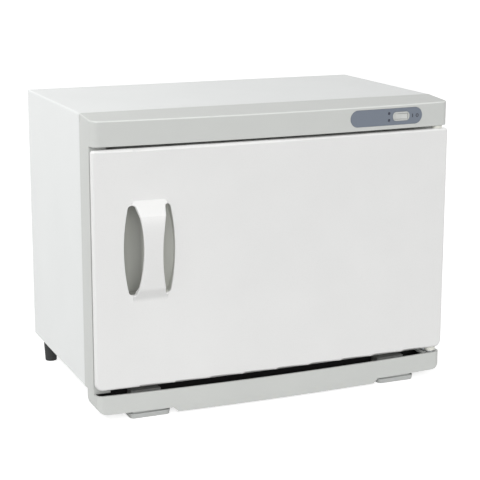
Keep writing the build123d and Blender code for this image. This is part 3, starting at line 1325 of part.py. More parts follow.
holder_low = lamp_z - LAMP_CAP_RADIUS - LAMP_HOLDER_CHIN
with BuildPart() as lamp_holders:
    for side in (-1, 1):
        with BuildSketch(Plane.YZ.offset(side * lamp_half)):
            with Locations((lamp_y, (holder_low + mouth_top) / 2)):
                RectangleRounded(LAMP_HOLDER_DEPTH, mouth_top - holder_low, MOUTH_CORNER / 2)
        extrude(amount=side * LAMP_HOLDER_WIDTH)
lamp_holders.part.label = "lamp_holders"
export_step(lamp_holders.part, "parts/lamp_holders.step")

guard_half = lamp_half - LAMP_CAP_LENGTH
guard_reach = LAMP_RADIUS + GUARD_GAP
guard_low = lamp_z - guard_reach
guard_slot_pitch = 2 * guard_half / GUARD_SLOTS
with BuildPart() as lamp_guard:
    with BuildSketch(Plane.YZ.offset(-guard_half)) as guard_profile:
        with Locations((lamp_y, (guard_low + mouth_top) / 2)):
            Rectangle(2 * guard_reach, mouth_top - guard_low)
        with Locations((lamp_y, (guard_low + mouth_top) / 2 + GUARD_SHEET)):
            Rectangle(2 * (guard_reach - GUARD_SHEET), mouth_top - guard_low, mode=Mode.SUBTRACT)
    extrude(amount=2 * guard_half)
    with BuildSketch(front_plane(lamp_y)):
        with Locations((0, lamp_z)):
            with GridLocations(guard_slot_pitch, 0, GUARD_SLOTS, 1):
                SlotOverall(GUARD_SLOT_LENGTH, GUARD_SLOT_WIDTH)
    extrude(amount=2 * guard_reach, both=True, mode=Mode.SUBTRACT)
    with BuildSketch(Plane.XY.offset(guard_low)):
        with Locations((0, lamp_y)):
            with GridLocations(guard_slot_pitch, 0, GUARD_SLOTS, 1):
                SlotOverall(GUARD_SLOT_LENGTH, GUARD_SLOT_WIDTH)
    extrude(amount=GUARD_SHEET, mode=Mode.SUBTRACT)
lamp_guard.part.label = "lamp_guard"
export_step(lamp_guard.part, "parts/lamp_guard.step")

# Ballast and terminal block on the rear panel, above the jacket
with BuildPart() as lamp_ballast:
    block(
        (BALLAST_X - BALLAST_WIDTH / 2, BALLAST_X + BALLAST_WIDTH / 2),
        (rear_panel_front - BALLAST_DEPTH, rear_panel_front),
        (top_space_middle - BALLAST_HEIGHT / 2, top_space_middle + BALLAST_HEIGHT / 2),
    )
    fillet(lamp_ballast.edges().filter_by(Axis.Y), BALLAST_CORNER)
lamp_ballast.part.label = "lamp_ballast"
export_step(lamp_ballast.part, "parts/lamp_ballast.step")

with BuildPart() as terminal_block:
    block(
        (terminal_x - TERMINAL_WIDTH / 2, terminal_x + TERMINAL_WIDTH / 2),
        (rear_panel_front - TERMINAL_DEPTH, rear_panel_front),
        (top_space_middle - TERMINAL_HEIGHT / 2, top_space_middle + TERMINAL_HEIGHT / 2),
    )
    with BuildSketch(front_plane(rear_panel_front - TERMINAL_DEPTH)):
        with Locations((terminal_x, top_space_middle)):
            with GridLocations(TERMINAL_WIDTH / TERMINAL_WAYS, TERMINAL_HEIGHT / 2, TERMINAL_WAYS, 2):
                Circle(TERMINAL_BORE)
    extrude(amount=-TERMINAL_DEPTH / 2, mode=Mode.SUBTRACT)
terminal_block.part.label = "terminal_block"
export_step(terminal_block.part, "parts/terminal_block.step")

# Cord inlet: rubber grommet in the rear panel
with BuildPart() as cord_grommet:
    with BuildSketch(front_plane(rear_panel_front - GROMMET_RIM_THICKNESS - SEAT_GAP)):
        with Locations((cord_inlet_x, top_space_middle)):
            Circle(GROMMET_RIM)
    extrude(amount=-GROMMET_RIM_THICKNESS)
    with BuildSketch(front_plane(rear_panel_front - GROMMET_RIM_THICKNESS)):
        with Locations((cord_inlet_x, top_space_middle)):
            Circle(GROMMET_NECK)
    extrude(amount=-(GROMMET_RIM_THICKNESS + SHEET + REAR_RECESS / 2))
    with BuildSketch(front_plane(rear_panel_rear + SEAT_GAP)):
        with Locations((cord_inlet_x, top_space_middle)):
            Circle(GROMMET_RIM)
    extrude(amount=-(REAR_RECESS - 4 * SEAT_GAP))
    with BuildSketch(front_plane(rear_panel_front - 2 * GROMMET_RIM_THICKNESS)):
        with Locations((cord_inlet_x, top_space_middle)):
            Circle(CORD_INLET_BORE)
    extrude(amount=-4 * GROMMET_RIM_THICKNESS, mode=Mode.SUBTRACT)
cord_grommet.part.label = "cord_grommet"
export_step(cord_grommet.part, "parts/cord_grommet.step")

# Front feet: moulded pads with a set-back neck under each end of the bottom bar
bar_face_at_foot = bar_front - BOTTOM_BAR_BOW + arc_drop(front_foot_x, case_half, BOTTOM_BAR_BOW)
foot_front = bar_face_at_foot + FRONT_FOOT_SETBACK
foot_middle_y = foot_front + FRONT_FOOT_DEPTH / 2
foot_corner = FRONT_FOOT_DEPTH / 4
foot_neck_width = FRONT_FOOT_WIDTH - 2 * FRONT_FOOT_NECK_INSET
foot_neck_depth = FRONT_FOOT_DEPTH - 2 * FRONT_FOOT_NECK_INSET
with BuildPart() as front_feet:
    for side in (-1, 1):
        with BuildSketch(Plane.XY.offset(FRONT_FOOT_PAD)):
            with Locations((side * front_foot_x, foot_middle_y)):
                RectangleRounded(FRONT_FOOT_WIDTH, FRONT_FOOT_DEPTH, foot_corner)
        extrude(amount=-FRONT_FOOT_PAD, taper=FRONT_FOOT_TAPER)
        with BuildSketch(Plane.XY.offset(FRONT_FOOT_PAD)):
            with Locations((side * front_foot_x, foot_middle_y)):
                RectangleRounded(foot_neck_width, foot_neck_depth, foot_corner / 2)
        extrude(amount=BOTTOM_BAR_END_BOTTOM - FRONT_FOOT_PAD)
front_feet.part.label = "front_feet"
export_step(front_feet.part, "parts/front_feet.step")

# Rear feet: tapered rubber stops under the cover's returns, each with a screw
rear_foot_y = case_rear - REAR_FOOT_FROM_BACK
rear_foot_recess = CASE_BOTTOM / 2
with BuildPart() as rear_feet:
    for side in (-1, 1):
        with BuildSketch(Plane.XY.offset(0)):
            with Locations((side * rear_foot_x, rear_foot_y)):
                Circle(REAR_FOOT_BOTTOM_RADIUS)
        with BuildSketch(Plane.XY.offset(CASE_BOTTOM)):
            with Locations((side * rear_foot_x, rear_foot_y)):
                Circle(REAR_FOOT_TOP_RADIUS)
        loft()
        with Locations((side * rear_foot_x, rear_foot_y, 0)):
            Cylinder(SCREW_HEAD_RADIUS + SCREW_CLEARANCE, 2 * rear_foot_recess, mode=Mode.SUBTRACT)
            Cylinder(SCREW_RADIUS + SCREW_CLEARANCE, 3 * CASE_BOTTOM, mode=Mode.SUBTRACT)
rear_feet.part.label = "rear_feet"
export_step(rear_feet.part, "parts/rear_feet.step")

# Screws: pan heads with plain shanks
with BuildPart() as rear_panel_screws:
    with BuildSketch(front_plane(rear_panel_rear)):
        with Locations(*rear_screw_places):
            Circle(SCREW_HEAD_RADIUS)
    extrude(amount=-SCREW_HEAD_HEIGHT)
    chamfer(rear_panel_screws.edges().filter_by(GeomType.CIRCLE).group_by(Axis.Y)[-1], SCREW_HEAD_BEVEL)
    with BuildSketch(front_plane(rear_panel_rear)):
        with Locations(*rear_screw_places):
            Circle(SCREW_RADIUS)
    extrude(amount=SHEET)
rear_panel_screws.part.label = "rear_panel_screws"
export_step(rear_panel_screws.part, "parts/rear_panel_screws.step")

with BuildPart() as rear_foot_screws:
    for side in (-1, 1):
        with BuildSketch(Plane.XY.offset(rear_foot_recess)):
            with Locations((side * rear_foot_x, rear_foot_y)):
                Circle(SCREW_HEAD_RADIUS)
        extrude(amount=-SCREW_HEAD_HEIGHT)
        with BuildSketch(Plane.XY.offset(rear_foot_recess)):
            with Locations((side * rear_foot_x, rear_foot_y)):
                Circle(SCREW_RADIUS)
        extrude(amount=CASE_BOTTOM - rear_foot_recess)
rear_foot_screws.part.label = "rear_foot_screws"
export_step(rear_foot_screws.part, "parts/rear_foot_screws.step")

bracket_screw_z = lower_bracket_low + BRACKET_THICKNESS + BRACKET_LEG / 2
with BuildPart() as hinge_screws:
    with BuildSketch(front_plane(land_front - BRACKET_THICKNESS)):
        with Locations((hinge_x, bracket_screw_z)):
            Circle(SCREW_HEAD_RADIUS)
    extrude(amount=SCREW_HEAD_HEIGHT)
    with BuildSketch(front_plane(land_front - BRACKET_THICKNESS)):
        with Locations((hinge_x, bracket_screw_z)):
            Circle(SCREW_RADIUS)
    extrude(amount=-BRACKET_THICKNESS)
    with BuildSketch(Plane.XY.offset(upper_bracket_low + BRACKET_THICKNESS)):
        with Locations((hinge_x, land_front - BRACKET_LEG / 2)):
            Circle(SCREW_HEAD_RADIUS)
    extrude(amount=SCREW_HEAD_HEIGHT)
    with BuildSketch(Plane.XY.offset(upper_bracket_low + BRACKET_THICKNESS)):
        with Locations((hinge_x, land_front - BRACKET_LEG / 2)):
            Circle(SCREW_RADIUS)
    extrude(amount=-BRACKET_THICKNESS)
hinge_screws.part.label = "hinge_screws"
export_step(hinge_screws.part, "parts/hinge_screws.step")
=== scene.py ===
import json
import math

import bpy
from mathutils import Matrix, Vector


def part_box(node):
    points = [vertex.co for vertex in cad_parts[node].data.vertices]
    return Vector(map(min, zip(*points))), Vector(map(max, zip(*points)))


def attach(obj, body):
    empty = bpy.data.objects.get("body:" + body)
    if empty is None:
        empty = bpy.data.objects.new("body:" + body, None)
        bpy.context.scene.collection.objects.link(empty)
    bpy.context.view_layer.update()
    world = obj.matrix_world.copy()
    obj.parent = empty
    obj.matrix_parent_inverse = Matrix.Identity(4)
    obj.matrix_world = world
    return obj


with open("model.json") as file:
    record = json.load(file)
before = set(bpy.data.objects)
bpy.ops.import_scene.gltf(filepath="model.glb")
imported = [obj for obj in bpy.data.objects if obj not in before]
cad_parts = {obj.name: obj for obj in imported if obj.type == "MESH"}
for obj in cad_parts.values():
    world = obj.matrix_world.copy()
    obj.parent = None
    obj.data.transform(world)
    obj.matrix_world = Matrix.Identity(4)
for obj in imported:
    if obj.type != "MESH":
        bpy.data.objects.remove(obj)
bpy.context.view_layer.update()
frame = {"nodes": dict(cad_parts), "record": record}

bl_info = {
    "name": "Towel Warmer Cabinet",
    "version": (1, 0, 0),
    "blender": (4, 5, 0),
    "location": "3D View > Sidebar > Towel Warmer",
    "description": "Finishes a towel warmer cabinet and sets it on a plain studio floor",
    "category": "Object",
}

nodes = frame["nodes"]
slot_of_node = {part["node"]: part["material_slot"] for part in frame["record"]["subparts"]}
BODY = "cabinet"
MILLIMETRE = 0.001
CREVICE_REACH = 35 * MILLIMETRE  # how near a wall has to be for the painted shade in a corner
EDGE_SAMPLES = 6  # rays that look for an edge or a corner
EDGE_COSINE = 0.80  # between the softened and the flat normal, where an edge counts fully
FLAT_COSINE = 0.995  # between the same two, where no edge is near


def screen_colour(red, green, blue):
    """A colour as a screen shows it, 0 to 255, turned into the linear values that a shader takes."""
    linear = []
    for value in (red, green, blue):
        share = value / 255
        linear.append(share / 12.92 if share <= 0.04045 else ((share + 0.055) / 1.055) ** 2.4)
    return tuple(linear)


# Sizes and colours that a user would change


def colour_property(name, description, red, green, blue):
    """A colour property whose default is given as a screen shows it."""
    return bpy.props.FloatVectorProperty(
        name=name,
        description=description,
        default=screen_colour(red, green, blue),
        min=0.0,
        max=1.0,
        size=3,
        subtype="COLOR",
    )


def length_property(name, description, millimetres):
    """A length property whose default is given in millimetres."""
    return bpy.props.FloatProperty(
        name=name,
        description=description,
        default=millimetres * MILLIMETRE,
        min=0.0,
        subtype="DISTANCE",
        unit="LENGTH",
    )


class WarmerColours(bpy.types.PropertyGroup):
    """Colours of the cabinet's finishes."""

    case: colour_property("Case", "Powder coat on the folded steel case", 232, 234, 233)
    frame: colour_property("Front frame", "Moulded front frame", 206, 208, 205)
    door: colour_property("Door", "Moulded door skin and its strap", 234, 234, 233)
    cup: colour_property("Handle cup", "Finger scoop behind the strap", 163, 164, 159)
    liner: colour_property("Door liner", "Inner panel of the door", 226, 227, 225)
    plate: colour_property("Control plate", "Film on the control plate", 117, 125, 137)
    switch: colour_property("Switch", "Rocker and its housing", 204, 206, 203)
    front_foot: colour_property("Front feet", "Pads under the bottom bar", 190, 192, 190)
    # Painted shade: the foot posts are the frame's grey, darkened for the shade they stand in.
    post_painted_shade: colour_property("Foot posts", "Moulded blocks above the front feet", 152, 153, 151)
    rear_foot: colour_property("Rear feet", "Rubber stops under the case", 58, 59, 59)
    rubber: colour_property("Rubber", "Gasket and cord grommet", 30, 30, 31)
    # Painted shade: a near-black liner in the bottom bar stands in for the shade in the gap under the door.
    painted_gap_shade: colour_property("Trough liner", "Dark tray that lies in the bottom bar", 26, 26, 26)


class WarmerDetails(bpy.types.PropertyGroup):
    """Sizes of the small details."""

    edge_round: length_property("Edge rounding", "How softly the light turns over an edge", 0.5)
    mark_height: length_property("Mark height", "Height of the marks beside the switch", 4.2)
    mark_stroke: length_property("Mark stroke", "Line width of the marks beside the switch", 1.0)
    mark_depth: length_property("Mark depth", "How thick the marks are, half of it in the plate", 0.3)
    mark_gap: length_property("Mark gap", "From the switch's rim to the middle of the first mark", 4.4)
    mark_pitch: length_property("Mark pitch", "Between the middles of the marks", 6.6)


class StageSettings(bpy.types.PropertyGroup):
    """Camera, floor and studio light."""

    camera_turn: bpy.props.FloatProperty(
        name="Camera turn",
        description="Turn of the camera about the vertical",
        default=-0.39923,
        subtype="ANGLE",
    )
    camera_rise: bpy.props.FloatProperty(
        name="Camera rise",
        description="Angle at which the camera looks down",
        default=0.21565,
        subtype="ANGLE",
    )
    camera_roll: bpy.props.FloatProperty(
        name="Camera roll",
        description="Turn of the camera about its own axis",
        default=0.00207,
        subtype="ANGLE",
    )
    camera_place: bpy.props.FloatVectorProperty(
        name="Camera place",
        description="Where the camera stands",
        default=(-0.659307, -1.574235, 0.571236),
        size=3,
        subtype="TRANSLATION",
        unit="LENGTH",
    )
    focal_length: bpy.props.FloatProperty(
        name="Focal length",
        description="Focal length in millimetres",
        default=104.5909,
        min=1.0,
    )
    camera_shift: bpy.props.FloatVectorProperty(
        name="Camera shift",
        description="How far the picture is shifted across and up, in picture widths",
        default=(0.0, -0.05),
        size=2,
    )
    floor_tone: bpy.props.FloatProperty(
        name="Floor tone",
        description="How much of the light the floor throws back",
        default=0.60,
        min=0.0,
        max=1.0,
    )
    floor_glow: bpy.props.FloatProperty(
        name="Floor glow",
        description="Light that only a camera or a mirror sees on the floor, so that it looks white",
        default=0.75,
        min=0.0,
    )
    sky_level: bpy.props.FloatProperty(
        name="Sky level",
        description="Even light from all round",
        default=0.45,
        min=0.0,
    )
    key_level: bpy.props.FloatProperty(
        name="Key level",
        description="Soft light from the front and upper left",
        default=2.05,
        min=0.0,
    )
    key_spread: bpy.props.FloatProperty(
        name="Key spread",
        description="Angle that the key light fills in the sky",
        default=math.radians(70.0),
        subtype="ANGLE",
    )
    key_direction: bpy.props.FloatVectorProperty(
        name="Key direction",
        description="Which way the key light shines",
        default=(0.25, 0.93, -0.26),
        size=3,
        subtype="DIRECTION",
    )
    side_level: bpy.props.FloatProperty(
        name="Side level",
        description="Power of the soft lamp beside the case's left side",
        default=5.4,
        min=0.0,
    )
    side_size: length_property("Side lamp size", "Width of the soft lamp beside the case", 700.0)
    side_place: bpy.props.FloatVectorProperty(
        name="Side lamp place",
        description="Where the lamp stands, beside the case and behind the door's plane",
        default=(-0.95, 0.15, 1.0),
        size=3,
        subtype="TRANSLATION",
        unit="LENGTH",
    )
    side_aim: bpy.props.FloatVectorProperty(
        name="Side lamp aim",
        description="What the lamp is aimed at, the middle of the case's left side",
        default=(-0.225, 0.0, 0.175),
        size=3,
        subtype="TRANSLATION",
        unit="LENGTH",
    )


# Surfaces of the moulded pieces


def moulding(sheen, grain, depth, painted_highlight=1.05, painted_corner_shade=1.0):
    """A moulded surface, from its lowest and highest roughness, the cells of its tool grain to the metre,
    the grain's depth in millimetres, how much lighter the painted highlight on an upper ridge is, and how
    much of the colour is left under the painted shade in the deepest corner."""
    return {"sheen": sheen, "grain": grain, "depth": depth, "painted_highlight": painted_highlight, "painted_corner_shade": painted_corner_shade}


MOULDINGS = {
    "frame_moulding": moulding((0.42, 0.56), 2200.0, 0.05, painted_highlight=1.28, painted_corner_shade=0.22),
    "post_painted_shade_moulding": moulding((0.50, 0.60), 2200.0, 0.05),
    "foot_pad": moulding((0.50, 0.65), 1800.0, 0.06),
    "trough_painted_shade": moulding((0.60, 0.75), 1800.0, 0.05),
    "door_gloss": moulding((0.26, 0.34), 1500.0, 0.02, painted_highlight=1.13),
    "liner_moulding": moulding((0.40, 0.50), 1500.0, 0.03),
    "plate_film": moulding((0.34, 0.44), 3000.0, 0.02),
    "switch_gloss": moulding((0.25, 0.35), 2500.0, 0.02),
    "mark_ink": moulding((0.40, 0.50), 3000.0, 0.01),
    "circuit_board": moulding((0.30, 0.50), 900.0, 0.05),
    "tray_moulding": moulding((0.35, 0.45), 1500.0, 0.03),
    "natural_nylon": moulding((0.35, 0.50), 1600.0, 0.04),
    "electrical_white": moulding((0.40, 0.55), 2000.0, 0.05),
    "electrical_black": moulding((0.40, 0.55), 2000.0, 0.05),
}


# Shader helpers


def add_node(tree, kind, inputs=None, **settings):
    """Adds a shader node, sets its options and fills or links its inputs."""
    made = tree.nodes.new("ShaderNode" + kind)
    for name, value in settings.items():
        setattr(made, name, value)
    for name, value in (inputs or {}).items():
        if isinstance(value, bpy.types.NodeSocket):
            tree.links.new(value, made.inputs[name])
        else:
            made.inputs[name].default_value = value
    return made


def new_material(name):
    """A material with an empty tree, and its shader."""
    material = bpy.data.materials.new(name)
    material.use_nodes = True
    tree = material.node_tree
    return material, tree, tree.nodes["Principled BSDF"]


def rgba(colour, factor=1.0):
    """Four values from a colour of three, made lighter or darker by a factor."""
    return tuple(min(1.0, value * factor) for value in colour[:3]) + (1.0,)


def noise(tree, per_metre, detail=3.0, stretch=(1.0, 1.0, 1.0)):
    """Noise in the object's own space, with a number of cells to the metre."""
    place = add_node(tree, "TexCoord")
    mapping = add_node(tree, "Mapping", {"Vector": place.outputs["Object"], "Scale": stretch})
    texture = add_node(
        tree, "TexNoise", {"Vector": mapping.outputs["Vector"], "Scale": per_metre, "Detail": detail}
    )
    return texture.outputs["Fac"]


def spread(tree, factor, low, high, start=0.3, end=0.7):
    """Turns a factor between start and end into a value from low to high."""
    mapped = add_node(
        tree,
        "MapRange",
        {"Value": factor, "From Min": start, "From Max": end, "To Min": low, "To Max": high},
    )
    return mapped.outputs["Result"]


def mix_colour(tree, factor, first, second):
    """A colour between two colours."""
    mixed = add_node(tree, "Mix", data_type="RGBA")
    tree.links.new(factor, mixed.inputs[0])
    for index, colour in ((6, first), (7, second)):
        if isinstance(colour, bpy.types.NodeSocket):
            tree.links.new(colour, mixed.inputs[index])
        else:
            mixed.inputs[index].default_value = colour
    return mixed.outputs[2]


def mottled(tree, factor, colour, darkest, lightest):
    """A colour that drifts between a darker and a lighter shade of itself."""
    return mix_colour(tree, spread(tree, factor, 0.0, 1.0), rgba(colour, darkest), rgba(colour, lightest))


def rounded_normal(tree, radius):
    """The surface's normal with its edges turned over softly."""
    bevel = add_node(tree, "Bevel", {"Radius": radius}, samples=EDGE_SAMPLES)
    return bevel.outputs["Normal"]


def edge_factor(tree, radius):
    """About 0 on flat faces, rising towards 1 along edges."""
    bevel = add_node(tree, "Bevel", {"Radius": radius}, samples=EDGE_SAMPLES)
    geometry = add_node(tree, "NewGeometry")
    facing = add_node(tree, "VectorMath", operation="DOT_PRODUCT")
    tree.links.new(bevel.outputs["Normal"], facing.inputs[0])
    tree.links.new(geometry.outputs["Normal"], facing.inputs[1])
    return spread(tree, facing.outputs["Value"], 1.0, 0.0, start=EDGE_COSINE, end=FLAT_COSINE)


def scaled(tree, colour, factor):
    """A colour multiplied by a factor."""
    product = add_node(tree, "VectorMath", {1: factor}, operation="MULTIPLY")
    if isinstance(colour, bpy.types.NodeSocket):
        tree.links.new(colour, product.inputs[0])
    else:
        product.inputs[0].default_value = colour[:3]
    return product.outputs["Vector"]


def crevice_shade(tree, darkest, reach):
    """Painted shade: 1 on open faces, down to the darkest value where the piece's own walls stand close."""
    occlusion = add_node(
        tree,
        "AmbientOcclusion",
        {"Distance": reach},
        samples=EDGE_SAMPLES,
        only_local=True,
    )
    return spread(tree, occlusion.outputs["AO"], darkest, 1.0, start=0.15, end=0.75)


def ridge_highlight_mask(tree):
    """Painted highlight mask: 1 where a front or back turns up to a top, 0 on the faces, little on ends."""
    place = add_node(tree, "TexCoord")
    parts = add_node(tree, "SeparateXYZ", {"Vector": place.outputs["Normal"]})
    past_front = spread(tree, parts.outputs["Z"], 0.0, 1.0, start=0.08, end=0.4)
    before_top = spread(tree, parts.outputs["Z"], 1.0, 0.0, start=0.88, end=0.985)
    between = add_node(tree, "Math", {0: past_front, 1: before_top}, operation="MULTIPLY")
    sideways = add_node(tree, "Math", {0: parts.outputs["X"]}, operation="ABSOLUTE")
    not_sideways = spread(tree, sideways.outputs[0], 1.0, 0.15, start=0.25, end=0.6)
    painted_highlight = add_node(tree, "Math", {0: between.outputs[0], 1: not_sideways}, operation="MULTIPLY")
    return painted_highlight.outputs[0]


def bump(tree, height, strength, depth, normal=None):
    """A bumped normal from a height, on top of another normal."""
    inputs = {"Height": height, "Strength": strength, "Distance": depth}
    if normal is not None:
        inputs["Normal"] = normal
    return add_node(tree, "Bump", inputs).outputs["Normal"]


def dress(tree, shader, colour, roughness, normal):
    """Links a colour, a roughness and a normal to a shader."""
    tree.links.new(colour, shader.inputs["Base Color"])
    tree.links.new(roughness, shader.inputs["Roughness"])
    tree.links.new(normal, shader.inputs["Normal"])


def seen_by_eye(tree):
    """1 for rays from the camera, from mirrors and through glass, 0 for rays that only carry light."""
    light_path = add_node(tree, "LightPath")
    seen = add_node(
        tree,
        "Math",
        {0: light_path.outputs["Is Camera Ray"], 1: light_path.outputs["Is Glossy Ray"]},
        operation="MAXIMUM",
    )
    through = light_path.outputs["Is Transmission Ray"]
    return add_node(tree, "Math", {0: seen.outputs[0], 1: through}, operation="MAXIMUM").outputs[0]


def assign(material, *names):
    """Gives a material to CAD nodes."""
    for name in names:
        mesh = nodes[name].data
        mesh.materials.clear()
        mesh.materials.append(material)


def nodes_in_slot(slot):
    """The CAD nodes that take their finish from a material slot."""
    return [name for name, own_slot in slot_of_node.items() if own_slot == slot]


def edge_radius():
    """The edge rounding that the details ask for."""
    return bpy.context.scene.warmer_details.edge_round


# Finishes


def powder_coat(name, colour):
    """Baked powder paint: fine orange peel, soft sheen and slightly thinner paint along the folds."""
    material, tree, shader = new_material(name)
    drift = noise(tree, 9.0, detail=2.0)
    peel = noise(tree, 1100.0, detail=2.0)
    edges = edge_factor(tree, 0.9 * MILLIMETRE)
    base = mottled(tree, drift, colour, 0.985, 1.01)
    along_edges = spread(tree, edges, 0.0, 0.8, start=0.0, end=1.0)
    worn = mix_colour(tree, along_edges, base, rgba(colour, 1.12))
    roughness = spread(tree, peel, 0.38, 0.50)
    normal = bump(tree, peel, 0.12, 0.12 * MILLIMETRE, rounded_normal(tree, edge_radius()))
    dress(tree, shader, worn, roughness, normal)
    shader.inputs["Specular IOR Level"].default_value = 0.4
    return material


def moulded_plastic(name, colour):
    """Injection moulded plastic: tool grain, slow waves from cooling, a painted highlight on upper ridges
    and painted shade in corners.
    """
    surface = MOULDINGS[name]
    material, tree, shader = new_material(name)
    drift = noise(tree, 14.0, detail=2.0)
    grain = noise(tree, surface["grain"], detail=3.0)
    waves = noise(tree, 30.0, detail=1.0)
    edges = edge_factor(tree, 0.8 * MILLIMETRE)
    base = mottled(tree, drift, colour, 0.985, 1.01)
    along_edges = spread(tree, edges, 0.0, 0.3, start=0.0, end=1.0)
    polished = mix_colour(tree, along_edges, base, rgba(colour, 1.05))
    # Painted highlight: upper front edges are lightened where a lamp's glint would catch them.
    shaded = mix_colour(tree, ridge_highlight_mask(tree), polished, rgba(colour, surface["painted_highlight"]))
    # Painted shade: the frame's colour is darkened where its own walls stand close, as shade would fall
    # there.
    if surface["painted_corner_shade"] < 1.0:
        shaded = scaled(tree, shaded, crevice_shade(tree, surface["painted_corner_shade"], CREVICE_REACH))
    lowest, highest = surface["sheen"]
    roughness = spread(tree, grain, lowest, highest)
    slow = bump(tree, waves, 0.05, 0.4 * MILLIMETRE, rounded_normal(tree, edge_radius()))
    normal = bump(tree, grain, 0.15, surface["depth"] * MILLIMETRE, slow)
    dress(tree, shader, shaded, roughness, normal)
    shader.inputs["Specular IOR Level"].default_value = 0.45
    return material


def scoop_with_painted_light(name, colour, middle):
    """Moulded scoop: satin, with painted light on the wall that faces right and past its middle."""
    material, tree, shader = new_material(name)
    grain = noise(tree, 1800.0, detail=3.0)
    place = add_node(tree, "TexCoord")
    normal_parts = add_node(tree, "SeparateXYZ", {"Vector": place.outputs["Normal"]})
    place_parts = add_node(tree, "SeparateXYZ", {"Vector": place.outputs["Object"]})
    # Painted light: the right-facing wall and the part past the middle are lightened as if lit from the
    # right.
    painted_light_right = spread(tree, normal_parts.outputs["X"], 0.6, 1.5, start=-0.6, end=0.6)
    lighter_from = middle - 4 * MILLIMETRE
    lightest_from = middle + 10 * MILLIMETRE
    past_middle = spread(tree, place_parts.outputs["X"], 0.8, 2.5, start=lighter_from, end=lightest_from)
    both = add_node(tree, "Math", {0: painted_light_right, 1: past_middle}, operation="MULTIPLY")
    base = scaled(tree, mottled(tree, grain, colour, 0.98, 1.02), both.outputs[0])
    normal = bump(tree, grain, 0.15, 0.04 * MILLIMETRE)
    dress(tree, shader, base, spread(tree, grain, 0.4, 0.5), normal)
    return material


def rubber(name, colour):
    """Moulded rubber: matt, with a dusty bloom and a fine cast grain."""
    material, tree, shader = new_material(name)
    bloom = noise(tree, 60.0, detail=4.0)
    grain = noise(tree, 2600.0, detail=2.0)
    base = mottled(tree, bloom, colour, 0.9, 1.25)
    normal = bump(tree, grain, 0.25, 0.08 * MILLIMETRE, rounded_normal(tree, 0.4 * MILLIMETRE))
    dress(tree, shader, base, spread(tree, bloom, 0.62, 0.8), normal)
    shader.inputs["Specular IOR Level"].default_value = 0.3
    return material


def brushed_metal(name, colour, roughness, stretch):
    """Rolled or brushed sheet: long fine lines along one direction and a clouded sheen."""
    material, tree, shader = new_material(name)
    lines = noise(tree, 900.0, detail=4.0, stretch=stretch)
    clouds = noise(tree, 22.0, detail=3.0)
    base = mottled(tree, lines, colour, 0.88, 1.04)
    clouded = spread(tree, clouds, roughness * 0.85, roughness * 1.2)
    normal = bump(tree, lines, 0.12, 0.06 * MILLIMETRE, rounded_normal(tree, 0.3 * MILLIMETRE))
    dress(tree, shader, base, clouded, normal)
    shader.inputs["Metallic"].default_value = 1.0
    return material


def bright_metal(name, colour, roughness):
    """Plated or polished metal: bright, with faint rubbed patches."""
    material, tree, shader = new_material(name)
    patches = noise(tree, 180.0, detail=4.0)
    base = mottled(tree, patches, colour, 0.93, 1.05)
    rubbed = spread(tree, patches, roughness * 0.7, roughness * 1.4)
    normal = bump(tree, patches, 0.05, 0.05 * MILLIMETRE, rounded_normal(tree, 0.3 * MILLIMETRE))
    dress(tree, shader, base, rubbed, normal)
    shader.inputs["Metallic"].default_value = 1.0
    return material


def fibre(name, colour, per_metre):
    """Felt or rigid foam: open, mottled and quite matt."""
    material, tree, shader = new_material(name)
    cells = noise(tree, per_metre, detail=5.0)
    base = mottled(tree, cells, colour, 0.75, 1.1)
    dress(tree, shader, base, spread(tree, cells, 0.85, 1.0), bump(tree, cells, 0.6, 0.6 * MILLIMETRE))
    return material


def clear_glass(name):
    """Clear quartz glass with faint drawing lines along the tube."""
    material, tree, shader = new_material(name)
    lines = noise(tree, 300.0, detail=2.0, stretch=(0.05, 1.0, 1.0))
    tree.links.new(spread(tree, lines, 0.02, 0.06), shader.inputs["Roughness"])
    tree.links.new(bump(tree, lines, 0.05, 0.05 * MILLIMETRE), shader.inputs["Normal"])
    shader.inputs["Base Color"].default_value = (0.93, 0.96, 1.0, 1.0)
    shader.inputs["Transmission Weight"].default_value = 1.0
    shader.inputs["IOR"].default_value = 1.46
    return material


def tinted_lens(name, colour):
    """Small moulded lens, dark until it is lit."""
    material, tree, shader = new_material(name)
    depth = noise(tree, 900.0, detail=2.0)
    base = mottled(tree, depth, colour, 0.8, 1.2)
    normal = bump(tree, depth, 0.05, 0.05 * MILLIMETRE, rounded_normal(tree, 0.3 * MILLIMETRE))
    dress(tree, shader, base, spread(tree, depth, 0.08, 0.16), normal)
    return material


# Operators for the finishes


class TOWELWARMER_OT_finish_case(bpy.types.Operator):
    """Powder coats the folded case, its rear panel and its base pan."""

    bl_idname = "towelwarmer.finish_case"
    bl_label = "Finish Case"

    def execute(self, context):
        colours = context.scene.warmer_colours
        assign(powder_coat("case_powder_coat", colours.case), *nodes_in_slot("case_paint"))
        return {"FINISHED"}


class TOWELWARMER_OT_finish_frame(bpy.types.Operator):
    """Gives the front frame and its feet their finish; the posts and trough liner carry painted shade."""

    bl_idname = "towelwarmer.finish_frame"
    bl_label = "Finish Front Frame"

    def execute(self, context):
        colours = context.scene.warmer_colours
        assign(moulded_plastic("frame_moulding", colours.frame), "front_frame")
        # Painted shade: the posts carry a darker copy of the frame's grey.
        assign(moulded_plastic("post_painted_shade_moulding", colours.post_painted_shade), "foot_posts")
        assign(moulded_plastic("foot_pad", colours.front_foot), "front_feet")
        assign(rubber("rear_foot_rubber", colours.rear_foot), "rear_feet")
        # Painted shade: the near-black liner stands in for the shade under the door.
        assign(moulded_plastic("trough_painted_shade", colours.painted_gap_shade), "trough_liner")
        return {"FINISHED"}


